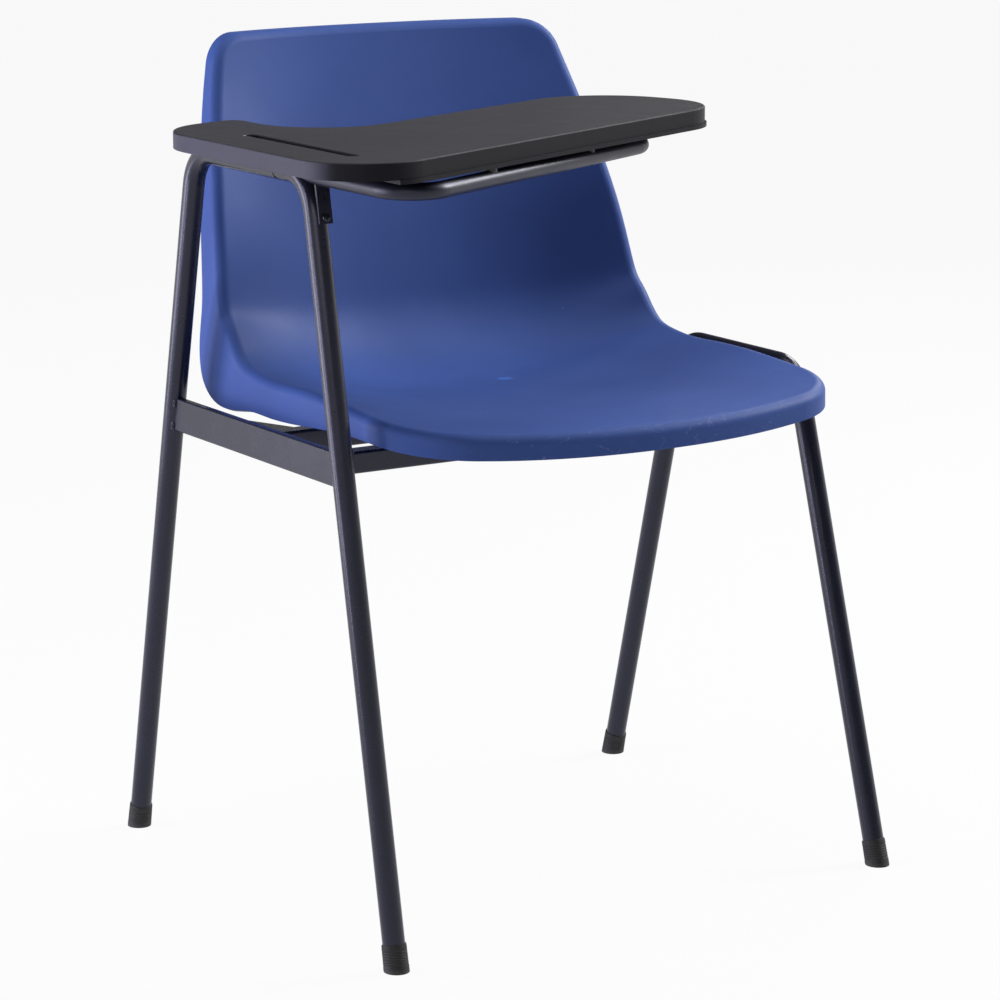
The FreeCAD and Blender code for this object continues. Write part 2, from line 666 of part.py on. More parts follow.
def sheet_normal(place, share):
    """Sitter's side normal of the dished sheet."""
    step = 0.01
    along = sheet_point(place + 1, share, 0) - sheet_point(place - 1, share, 0)
    across = sheet_point(place, share + step, 0) - sheet_point(place, share - step, 0)
    return unit(across.cross(along))


def sheet_surface(place_of):
    """Smooth face through a grid of points."""
    total = seat_run + bend_run + back_run
    rows = 36
    columns = 22
    grid = []
    for row in range(rows + 1):
        place = -DRAW_OUT + (total + 2 * DRAW_OUT) * row / rows
        shares = [-1.12 + 2.24 * column / columns for column in range(columns + 1)]
        grid.append([place_of(place, share) for share in shares])
    surface = Part.BSplineSurface()
    surface.interpolate(grid)
    return surface.toShape()


def slab(upper, lower):
    """Solid between two sheets of the same layout."""
    walls = []
    for index in range(4):
        walls.append(Part.makeRuledSurface(upper.Edges[index], lower.Edges[index]))
    solid = Part.makeSolid(Part.makeShell([upper, lower] + walls))
    if solid.Volume < 0:
        solid.reverse()
    return solid


def outline_block(inset):
    """Block with the shell's front view and plan outline, drawn in by an inset."""
    half = S["seat_width"] / 2 - inset
    radius = taper_radius() + inset
    taper_z = S["back_taper_start"]
    top_z = S["back_top_height"] - inset
    bend = S["back_corner"] - inset
    low_z = taper_z - 2 * S["seat_corner"]
    hub = Vector(half - radius, 0, taper_z)
    inner = radius - bend
    hub_rise = top_z - bend - taper_z
    bend_hub = Vector(hub.x + math.sqrt(inner * inner - hub_rise * hub_rise), 0, top_z - bend)
    touch = hub + unit(bend_hub - hub) * radius
    midway = hub + unit(touch + Vector(half, 0, taper_z) - hub * 2) * radius
    crown = bend_hub + Z * bend
    shoulder = bend_hub + unit(touch + crown - bend_hub * 2) * bend
    right_half = [
        Part.makeLine(Vector(half, 0, low_z), Vector(half, 0, taper_z)),
        Part.Arc(Vector(half, 0, taper_z), midway, touch).toShape(),
        Part.Arc(touch, shoulder, crown).toShape(),
    ]
    mirror = [edge.mirror(Vector(), X) for edge in right_half]
    bottom = Part.makeLine(Vector(-half, 0, low_z), Vector(half, 0, low_z))
    top = Part.makeLine(crown, Vector(-crown.x, 0, crown.z))
    ordered = Part.__sortEdges__(right_half + mirror + [bottom, top])
    profile = Part.Face(Part.Wire(ordered))
    depth = S["seat_front"] + S["back_top"] + 8 * DRAW_OUT
    block = profile.extrude(Y * depth)
    block.translate(at(0, -S["seat_front"] - 2 * DRAW_OUT, 0))
    chord = S["seat_width"] / 2 - S["seat_corner"]
    bow = S["seat_front_bow"]
    bow_radius = (chord * chord + bow * bow) / (2 * bow) - inset
    bow_hub = at(0, -S["seat_front"] + inset + bow_radius, low_z - CUT_PAST)
    height = top_z - low_z + 2 * CUT_PAST
    seat_height = S["seat_corner"] * 4
    disc = Part.makeCylinder(bow_radius, seat_height, bow_hub)
    rear = Part.makeBox(4 * half, depth, height, Vector(centre.x - 2 * half, centre.y, bow_hub.z))
    block = block.common(disc.fuse(rear))
    upright = []
    for edge in block.Edges:
        ends = [vertex.Point for vertex in edge.Vertexes]
        forward = max(point.y for point in ends) < at(0, -S["seat_front"] + S["seat_corner"] * 2, 0).y
        level = abs(ends[0].z - ends[-1].z) < 1
        aside = min(abs(point.x - centre.x) for point in ends) > half / 2
        if forward and aside and not level:
            upright.append(edge)
    return block.makeFillet(S["seat_corner"] - inset, upright)


def flange_depth(place):
    """Depth of the turned edge along the seat and back line."""
    sizes = [S["flange_front"], S["flange_seat"], S["flange_back"], S["flange_top"]]
    depth = blend(*sizes, place, S["flange_hold"], 0.623)
    return depth + S["flange_bend"] * swell(place)


upper = sheet_surface(lambda place, share: sheet_point(place, share, 0))
lower = sheet_surface(lambda place, share: sheet_point(place, share, flange_depth(place)))
under = sheet_surface(
    lambda place, share: sheet_point(place, share, 0) - sheet_normal(place, share) * S["shell_wall"]
)
clear = sheet_surface(lambda place, share: sheet_point(place, share, flange_depth(place) + DRAW_OUT))
blank = slab(upper, lower).common(outline_block(0))
sitting_point = Part.Vertex(sheet_point(seat_run / 2, 0, 0))
sitting_face = min(blank.Faces, key=lambda face: face.distToShape(sitting_point)[0])
rounded = blank.makeFillet(S["shell_rim_radius"], sitting_face.OuterWire.Edges)
hollow = slab(under, clear).common(outline_block(S["shell_wall"]))
bosses = []
for index, point in enumerate(seat_points, start=1):
    foot = Vector(point.x, point.y, bar_top)
    bosses.append(
        cylinder(
            "shell_boss_%d" % index, "Sizes.boss_diameter / 2", "Sizes.boss_diameter * 3", foot, Z
        )
    )
insert_holes = []
for index, point in enumerate(seat_points, start=1):
    insert_holes.append(
        cylinder(
            "insert_hole_%d" % index,
            "Sizes.insert_diameter / 2 + Sizes.thread_gap",
            "Sizes.insert_length",
            Vector(point.x, point.y, bar_top),
            Z,
        )
    )
shell_blank = feature("shell_blank", rounded)
shell_hollow = cut("shell_hollow", feature("shell_hollow_blank", hollow), bosses)
nodes["seat_shell"] = cut("seat_shell", shell_blank, [shell_hollow] + insert_holes)

# Seat screws with washers, up against the cross bars' top walls, in threaded inserts above them.
inserts = []
washers = []
seat_screws = []
for index, point in enumerate(seat_points, start=1):
    boss_foot = Vector(point.x, point.y, bar_top)
    ring = cylinder(
        "insert_%d_ring" % index, "Sizes.insert_diameter / 2", "Sizes.insert_length", boss_foot, Z
    )
    thread = cylinder(
        "insert_%d_thread" % index,
        "Sizes.seat_screw_diameter / 2 + Sizes.thread_gap",
        "Sizes.insert_length",
        boss_foot,
        Z,
    )
    inserts.append(cut("insert_%d" % index, ring, [thread]))
    washer_foot = boss_foot - Z * (S["bar_wall"] + S["washer_thickness"])
    disc = cylinder(
        "washer_%d_disc" % index, "Sizes.washer_diameter / 2", "Sizes.washer_thickness", washer_foot, Z
    )
    eye = cylinder(
        "washer_%d_eye" % index,
        "Sizes.seat_screw_diameter / 2 + Sizes.screw_gap",
        "Sizes.washer_thickness",
        washer_foot,
        Z,
    )
    washers.append(cut("washer_%d" % index, disc, [eye]))
    shank = cylinder(
        "seat_screw_%d_shank" % index,
        "Sizes.seat_screw_diameter / 2",
        "Sizes.washer_thickness + Sizes.bar_wall + Sizes.insert_length - Sizes.screw_gap",
        washer_foot,
        Z,
    )
    head = cylinder(
        "seat_screw_%d_head" % index,
        "Sizes.seat_screw_head / 2",
        "Sizes.seat_screw_head_height",
        washer_foot - Z * S["seat_screw_head_height"],
        Z,
    )
    seat_screws.append(fuse("seat_screw_%d" % index, [shank, head]))
nodes["seat_inserts"] = group("seat_inserts", inserts)
nodes["seat_washers"] = group("seat_washers", washers)
nodes["seat_screws"] = group("seat_screws", seat_screws)

# Pivot bushes in the arm rail.
BUSHES = (
    ("front_pivot_bush", arm_at(S["front_bush_front"])),
    ("rear_pivot_bush", arm_at(S["bush_length"] - S["rear_bush_rear"])),
)
for name, face in BUSHES:
    sleeve = cylinder(
        name + "_sleeve",
        "Sizes.leg_diameter / 2 - Sizes.leg_wall - Sizes.bush_seat_gap",
        "Sizes.bush_length",
        face,
        Y,
    )
    bore = cylinder(
        name + "_bore", "Sizes.carrier_diameter / 2 + Sizes.bush_play", "Sizes.bush_length", face, Y
    )
    nodes[name] = cut(name, sleeve, [bore])

# Carrier tube: along the arm rail, across under the board's front edge and back in a loop.
slant = math.radians(S["carrier_angle"])
cross_way = Vector(math.cos(slant), math.sin(slant), 0)
back_way = Vector(-math.sin(slant), math.cos(slant), 0)
carrier_corner = arm_at(S["carrier_nose"])
loop_corner = carrier_corner + cross_way * (S["carrier_run"] + S["carrier_loop"])
loop_return = loop_corner + back_way * (2 * S["carrier_loop"])
return_start = loop_return - cross_way * S["carrier_loop"]
carrier_end = return_start - cross_way * S["carrier_return"]
carrier_start = arm_at(-S["rear_bush_rear"] - S["carrier_tail"])
carrier_points = [carrier_start, carrier_corner, loop_corner, loop_return, carrier_end]
carrier_radii = [0, S["carrier_bend"], S["carrier_loop"], S["carrier_loop"], 0]
carrier_inside = carrier_radius - S["carrier_wall"]
carrier_solid = pipe(carrier_points, carrier_radii, carrier_radius)
carrier_tube = carrier_solid.cut(pipe(carrier_points, carrier_radii, carrier_inside))
pin_lean = math.radians(S["pin_angle"])
pin_way = Vector(-math.cos(pin_lean), 0, -math.sin(pin_lean))
pin_root = arm_at(S["pin_station"]) + pin_way * (carrier_inside - S["carrier_wall"])
pin_hole = cylinder(
    "stop_pin_hole",
    "Sizes.pin_diameter / 2 + Sizes.thread_gap",
    "Sizes.leg_diameter / 2",
    pin_root,
    pin_way,
)
carrier_blank = feature("carrier_blank", carrier_tube)
nodes["stop_pin"] = cylinder(
    "stop_pin",
    "Sizes.pin_diameter / 2",
    "Sizes.leg_diameter / 2 - Sizes.carrier_diameter / 2 + 2 * Sizes.carrier_wall - Sizes.pin_gap",
    pin_root,
    pin_way,
)
plug_cap = cylinder(
    "carrier_plug_cap", "Sizes.carrier_diameter / 2", "Sizes.plug_flange", carrier_end, cross_way * -1
)
plug_spigot = cylinder(
    "carrier_plug_spigot",
    "Sizes.carrier_diameter / 2 - Sizes.carrier_wall - Sizes.thread_gap",
    "Sizes.plug_spigot",
    carrier_end,
    cross_way,
)
nodes["carrier_end_plug"] = fuse("carrier_end_plug", [plug_cap, plug_spigot])

# Rest plate under the carrier, on the front of the right front leg.
plate = doc.addObject("Part::Box", "rest_plate_strip")
plate.setExpression("Length", "Sizes.plate_width")
plate.setExpression("Width", "Sizes.plate_thickness")
plate.setExpression("Height", "Sizes.plate_low")
plate_turn = Rotation(X, plate_out * -1, rest_lean, "ZXY")
plate_foot = on_plate(S["plate_low"]) - X * S["plate_width"] / 2 + plate_out * S["plate_thickness"]
plate.Placement = Placement(plate_foot, plate_turn)
plate_hole = cylinder(
    "rest_plate_hole",
    "Sizes.plate_screw_diameter / 2 + Sizes.screw_gap",
    "4 * Sizes.plate_thickness",
    on_plate(S["plate_screw_drop"]) - plate_out * S["plate_thickness"],
    plate_out,
)
plate_spare = cylinder(
    "rest_plate_spare_hole",
    "Sizes.plate_spare_diameter / 2",
    "4 * Sizes.plate_thickness",
    on_plate(S["plate_screw_drop"] - S["plate_spare_rise"]) - plate_out * S["plate_thickness"],
    plate_out,
)
nodes["carrier_rest_plate"] = cut("carrier_rest_plate", plate, [way_out, plate_hole, plate_spare])
screw_seat = on_plate(S["plate_screw_drop"]) + plate_out * S["plate_thickness"]
plate_shank = cylinder(
    "rest_plate_screw_shank",
    "Sizes.plate_screw_diameter / 2",
    "Sizes.plate_screw_reach + Sizes.plate_thickness",
    screw_seat,
    plate_out * -1,
)
plate_head = cylinder(
    "rest_plate_screw_head",
    "Sizes.plate_screw_head / 2",
    "Sizes.plate_screw_head_height",
    screw_seat,
    plate_out,
)
nodes["rest_plate_screw"] = fuse("rest_plate_screw", [plate_shank, plate_head])

# Spacers between the carrier and the board, with screws that bear inside the carrier.
spacer_rise = S["board_bottom"] - S["lip_drop"] - S["arm_height"]
head_half = S["board_screw_head"] / 2
head_seat = math.sqrt(carrier_inside * carrier_inside - head_half * head_half) - S["thread_gap"]
SPOTS = (
    arm_at(S["arm_spot"]),
    carrier_corner + cross_way * S["cross_spot_near"],
    carrier_corner + cross_way * S["cross_spot_far"],
    return_start - cross_way * S["return_spot"],
)
carrier_solid_item = feature("carrier_outside", carrier_solid)
carrier_holes = [pin_hole]
spacers = []
board_screws = []
board_holes = []
for index, spot in enumerate(SPOTS, start=1):
    carrier_holes.append(
        cylinder(
            "carrier_hole_%d" % index,
            "Sizes.board_screw_diameter / 2 + Sizes.screw_gap",
            "Sizes.carrier_diameter",
            spot,
            Z,
        )
    )
    carrier_holes.append(
        cylinder(
            "carrier_access_%d" % index,
            "Sizes.access_diameter / 2",
            "Sizes.carrier_diameter",
            spot,
            Z * -1,
        )
    )
    column = doc.addObject("Part::Cylinder", "spacer_%d_column" % index)
    column.setExpression("Radius", "Sizes.spacer_diameter / 2")
    column.Height = spacer_rise
    column.Placement.Base = spot
    eye = cylinder(
        "spacer_%d_eye" % index,
        "Sizes.board_screw_diameter / 2 + Sizes.screw_gap",
        "2 * Sizes.carrier_diameter",
        spot,
        Z,
    )
    spacers.append(cut("spacer_%d" % index, column, [carrier_solid_item, eye]))
    board_holes.append(
        cylinder(
            "board_hole_%d" % index,
            "Sizes.board_screw_diameter / 2 + Sizes.thread_gap",
            "Sizes.board_screw_reach + Sizes.screw_gap",
            spot + Z * spacer_rise,
            Z,
        )
    )
    shank = doc.addObject("Part::Cylinder", "board_screw_%d_shank" % index)
    shank.setExpression("Radius", "Sizes.board_screw_diameter / 2")
    shank.Height = spacer_rise - head_seat + S["board_screw_reach"]
    shank.Placement.Base = spot + Z * head_seat
    head = cylinder(
        "board_screw_%d_head" % index,
        "Sizes.board_screw_head / 2",
        "Sizes.board_screw_head_height",
        spot + Z * (head_seat - S["board_screw_head_height"]),
        Z,
    )
    board_screws.append(fuse("board_screw_%d" % index, [shank, head]))
nodes["tablet_carrier_tube"] = cut("tablet_carrier_tube", carrier_blank, carrier_holes)
nodes["board_spacers"] = group("board_spacers", spacers)
nodes["board_screws"] = group("board_screws", board_screws)

# Tablet board with its pencil groove, and a deeper writing part with a lip.
board_body = doc.addObject("PartDesign::Body", "board_body")
board_edges = run_edges(board_points, board_radii, True)
board_sketch = sketch_on(board_body, "board_outline", "XY_Plane")
for edge in board_edges:
    board_sketch.addGeometry(edge_geometry(edge), False)
pad(board_body, "board_pad", board_sketch, "Sizes.board_thickness")
lip_sketch = sketch_on(board_body, "board_lip_outline", "XY_Plane", -S["lip_drop"])
for edge in Part.Wire(board_edges).makeOffset2D(S["lip_width"]).Edges:
    lip_sketch.addGeometry(edge_geometry(edge), False)
pad(board_body, "board_lip", lip_sketch, "Sizes.lip_drop")
arm_side = outer_x - S["board_overhang"]
arm_front = -S["board_front"] - S["board_overhang"]
arm_back = S["board_tail"] + S["board_arm_width"]
lip_end = waist + Vector(S["lip_end"], -S["lip_end"])
relief_points = [
    Vector(arm_side, arm_front),
    Vector(nose.x, arm_front),
    Vector(nose.x, lip_end.y),
    Vector(lip_end.x, lip_end.y),
    Vector(lip_end.x, arm_back),
    Vector(arm_side, arm_back),
]
relief_sketch = sketch_on(board_body, "arm_relief_outline", "XY_Plane", -S["lip_drop"])
for edge in run_edges(relief_points, [0] * 6, True):
    relief_sketch.addGeometry(edge_geometry(edge), False)
relief = board_body.newObject("PartDesign::Pocket", "arm_relief")
relief.Profile = relief_sketch
relief.Reversed = True
relief.setExpression("Length", "Sizes.lip_drop")
groove_sketch = sketch_on(board_body, "pencil_groove_outline", "XY_Plane", S["board_thickness"])
groove_x = outer_x + S["groove_inset"]
groove_half = S["groove_width"] / 2
groove_back = -S["groove_rear"]
groove_front = groove_back - S["groove_length"]
groove_points = [
    Vector(groove_x - groove_half, groove_front),
    Vector(groove_x + groove_half, groove_front),
    Vector(groove_x + groove_half, groove_back),
    Vector(groove_x - groove_half, groove_back),
]
for edge in run_edges(groove_points, [groove_half] * 4, True):
    groove_sketch.addGeometry(edge_geometry(edge), False)
groove = board_body.newObject("PartDesign::Pocket", "pencil_groove")
groove.Profile = groove_sketch
groove.setExpression("Length", "Sizes.groove_depth")
doc.recompute()
top_face = max(groove.Shape.Faces, key=lambda face: (round(face.CenterOfMass.z, 3), face.Area))
top_edges = []
for number, edge in enumerate(groove.Shape.Edges, start=1):
    if any(edge.isSame(rim) for rim in top_face.OuterWire.Edges):
        top_edges.append("Edge%d" % number)
board_round = board_body.newObject("PartDesign::Fillet", "board_edge_round")
board_round.Base = (groove, top_edges)
board_round.setExpression("Radius", "Sizes.board_edge")
board_body.Placement.Base = at(0, 0, S["board_bottom"])
nodes["tablet_board"] = cut("tablet_board", board_body, board_holes)

doc.recompute()
for item in doc.Objects:
    if "Invalid" in item.State or "Error" in item.State:
        raise ValueError("%s failed to build" % item.Name)
whole = FreeCAD.BoundBox()
for name, item in nodes.items():
    shape = item.Shape
    if shape.isNull() or not shape.isValid():
        raise ValueError("%s has no valid shape" % name)
    item.Label = name
    whole.add(shape.BoundBox)
    shape.exportStep("parts/%s.step" % name)
    print("%-24s %2d solid %12.1f mm3" % (name, len(shape.Solids), shape.Volume))
print("%d nodes, overall %s" % (len(nodes), whole))
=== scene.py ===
import logging
import math
from dataclasses import dataclass, field
from enum import Enum

import bmesh
import bpy
from mathutils import Matrix, Vector


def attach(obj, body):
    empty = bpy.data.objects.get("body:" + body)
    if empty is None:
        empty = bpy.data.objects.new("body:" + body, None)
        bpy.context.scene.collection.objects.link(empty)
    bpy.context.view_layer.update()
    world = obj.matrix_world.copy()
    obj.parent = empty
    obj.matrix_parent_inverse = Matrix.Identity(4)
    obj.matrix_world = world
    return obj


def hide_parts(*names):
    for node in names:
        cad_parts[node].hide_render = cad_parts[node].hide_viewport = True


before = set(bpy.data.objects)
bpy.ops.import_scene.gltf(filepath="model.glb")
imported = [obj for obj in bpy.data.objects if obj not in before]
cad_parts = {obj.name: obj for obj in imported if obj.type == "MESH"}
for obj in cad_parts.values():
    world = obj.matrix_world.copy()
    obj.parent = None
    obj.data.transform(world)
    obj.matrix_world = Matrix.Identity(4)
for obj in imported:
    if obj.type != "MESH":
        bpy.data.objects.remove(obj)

LOG = logging.getLogger("tablet_arm_chair")
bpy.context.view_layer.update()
MERGE_DISTANCE = 1e-6
SMOOTH_ANGLE = math.radians(34)
Colour = tuple[float, float, float]
Point = tuple[float, float, float]
Run = tuple[Point, Point]
Section = list[tuple[float, float]]
COOL: Colour = (0.84, 0.83, 1.0)


class Body(Enum):
    """Rigid bodies of the chair."""

    CHAIR = "chair"
    TABLET = "tablet_arm"


class Slot(Enum):
    """Material slots of the record."""

    FRAME = "frame_paint"
    CARRIER = "carrier_paint"
    FOOT = "foot_rubber"
    SHELL = "shell_plastic"
    BOARD = "board_plastic"
    SMALL = "small_plastic"
    BRASS = "insert_brass"
    STEEL = "screw_steel"


def add_maths(tree: bpy.types.NodeTree, operation: str, *values: object) -> bpy.types.NodeSocket:
    """Adds a Math node.

    Args:
        tree: Tree that gets the node.
        operation: Math operation.
        values: A number or a socket for each input.

    Returns:
        The node's result.
    """
    node = tree.nodes.new("ShaderNodeMath")
    node.operation = operation
    for index, value in enumerate(values):
        if isinstance(value, bpy.types.NodeSocket):
            tree.links.new(value, node.inputs[index])
        else:
            node.inputs[index].default_value = value
    return node.outputs[0]


def object_place(tree: bpy.types.NodeTree) -> bpy.types.NodeSocket:
    """Adds Object coordinates to a tree.

    Args:
        tree: Tree that gets the node.

    Returns:
        The coordinates.
    """
    return tree.nodes.new("ShaderNodeTexCoord").outputs["Object"]


class Effects:
    """Shader node groups that several finishes share."""

    def __init__(self) -> None:
        """Builds every group once."""
        self.grain = self._grain()
        self.tone = self._tone()
        self.chips = self._chips()
        self.scratches = self._scratches()
        self.spot = self._spot()

    @staticmethod
    def _start(name: str, inputs: dict[str, str], outputs: dict[str, str]) -> bpy.types.NodeTree:
        """Makes an empty group with named sockets.

        Args:
            name: Name of the group.
            inputs: Socket type of each input.
            outputs: Socket type of each output.

        Returns:
            The node tree, with its input and output nodes.
        """
        tree = bpy.data.node_groups.new(name, "ShaderNodeTree")
        for label, kind in inputs.items():
            tree.interface.new_socket(label, in_out="INPUT", socket_type=kind)
        for label, kind in outputs.items():
            tree.interface.new_socket(label, in_out="OUTPUT", socket_type=kind)
        tree.nodes.new("NodeGroupInput").name = "given"
        tree.nodes.new("NodeGroupOutput").name = "made"
        return tree

    @staticmethod
    def _noise(
        tree: bpy.types.NodeTree, place: bpy.types.NodeSocket, scale: object, detail: float
    ) -> bpy.types.NodeSocket:
        """Adds a noise texture.

        Args:
            tree: Tree that gets the node.
            place: Coordinates.
            scale: A number or a socket.
            detail: Detail of the noise.

        Returns:
            The noise value.
        """
        node = tree.nodes.new("ShaderNodeTexNoise")
        node.inputs["Detail"].default_value = detail
        tree.links.new(place, node.inputs["Vector"])
        if isinstance(scale, bpy.types.NodeSocket):
            tree.links.new(scale, node.inputs["Scale"])
        else:
            node.inputs["Scale"].default_value = scale
        return node.outputs["Fac"]

    def _grain(self) -> bpy.types.NodeTree:
        """Makes a fine moulded or sprayed surface height.

        Returns:
            The node group.
        """
        tree = self._start("fine_grain", {"Scale": "NodeSocketFloat"}, {"Height": "NodeSocketFloat"})
        given = tree.nodes["given"].outputs["Scale"]
        place = object_place(tree)
        coarse = self._noise(tree, place, given, 2.0)
        fine = self._noise(tree, place, add_maths(tree, "MULTIPLY", given, 3.7), 1.0)
        height = add_maths(tree, "ADD", coarse, add_maths(tree, "MULTIPLY", fine, 0.4))
        tree.links.new(height, tree.nodes["made"].inputs["Height"])
        return tree

    def _tone(self) -> bpy.types.NodeTree:
        """Makes a slow change of tone over a surface.

        Returns:
            The node group.
        """
        tree = self._start(
            "slow_tone",
            {"Color": "NodeSocketColor", "Spread": "NodeSocketFloat", "Scale": "NodeSocketFloat"},
            {"Color": "NodeSocketColor", "Value": "NodeSocketFloat"},
        )
        given = tree.nodes["given"].outputs
        noise = self._noise(tree, object_place(tree), given["Scale"], 4.0)
        centred = add_maths(tree, "MULTIPLY", add_maths(tree, "SUBTRACT", noise, 0.5), 2.0)
        factor = add_maths(tree, "MULTIPLY_ADD", centred, given["Spread"], 1.0)
        scaled = tree.nodes.new("ShaderNodeVectorMath")
        scaled.operation = "SCALE"
        tree.links.new(given["Color"], scaled.inputs[0])
        tree.links.new(factor, scaled.inputs["Scale"])
        tree.links.new(scaled.outputs[0], tree.nodes["made"].inputs["Color"])
        tree.links.new(factor, tree.nodes["made"].inputs["Value"])
        return tree

    def _chips(self) -> bpy.types.NodeTree:
        """Makes sparse small chips and specks.

        Returns:
            The node group.
        """
        tree = self._start(
            "sparse_chips",
            {"Scale": "NodeSocketFloat", "Share": "NodeSocketFloat", "Radius": "NodeSocketFloat"},
            {"Mask": "NodeSocketFloat"},
        )
        given = tree.nodes["given"].outputs
        cells = tree.nodes.new("ShaderNodeTexVoronoi")
        tree.links.new(object_place(tree), cells.inputs["Vector"])
        tree.links.new(given["Scale"], cells.inputs["Scale"])
        parts = tree.nodes.new("ShaderNodeSeparateColor")
        tree.links.new(cells.outputs["Color"], parts.inputs[0])
        chosen = add_maths(tree, "LESS_THAN", parts.outputs[0], given["Share"])
        reach = add_maths(tree, "MULTIPLY", given["Radius"], parts.outputs[1])
        inside = add_maths(tree, "LESS_THAN", cells.outputs["Distance"], reach)
        tree.links.new(add_maths(tree, "MULTIPLY", chosen, inside), tree.nodes["made"].inputs["Mask"])
        return tree

    def _scratches(self) -> bpy.types.NodeTree:
        """Makes thin broken scratches along one direction.

        Returns:
            The node group.
        """
        tree = self._start(
            "fine_scratches",
            {"Scale": "NodeSocketFloat", "Stretch": "NodeSocketVector", "Width": "NodeSocketFloat"},
            {"Mask": "NodeSocketFloat"},
        )
        given = tree.nodes["given"].outputs
        place = object_place(tree)
        drawn = tree.nodes.new("ShaderNodeVectorMath")
        drawn.operation = "MULTIPLY"
        tree.links.new(place, drawn.inputs[0])
        tree.links.new(given["Stretch"], drawn.inputs[1])
        lines = self._noise(tree, drawn.outputs[0], given["Scale"], 2.0)
        off_line = add_maths(tree, "ABSOLUTE", add_maths(tree, "SUBTRACT", lines, 0.5))
        thin = add_maths(tree, "LESS_THAN", off_line, given["Width"])
        broken = self._noise(tree, place, add_maths(tree, "MULTIPLY", given["Scale"], 0.6), 3.0)
        shown = add_maths(tree, "GREATER_THAN", broken, 0.52)
        tree.links.new(add_maths(tree, "MULTIPLY", thin, shown), tree.nodes["made"].inputs["Mask"])
        return tree

    def _spot(self) -> bpy.types.NodeTree:
        """Makes one soft round spot at a point of a surface.

        Returns:
            The node group.
        """
        tree = self._start(
            "one_spot",
            {"Centre": "NodeSocketVector", "Radius": "NodeSocketFloat"},
            {"Mask": "NodeSocketFloat"},
        )
        given = tree.nodes["given"].outputs
        away = tree.nodes.new("ShaderNodeVectorMath")
        away.operation = "DISTANCE"
        tree.links.new(object_place(tree), away.inputs[0])
        tree.links.new(given["Centre"], away.inputs[1])
        fade = tree.nodes.new("ShaderNodeMapRange")
        fade.interpolation_type = "SMOOTHSTEP"
        fade.inputs["From Min"].default_value = 1.0
        fade.inputs["From Max"].default_value = 0.55
        share = add_maths(tree, "DIVIDE", away.outputs["Value"], given["Radius"])
        tree.links.new(share, fade.inputs["Value"])
        tree.links.new(fade.outputs["Result"], tree.nodes["made"].inputs["Mask"])
        return tree


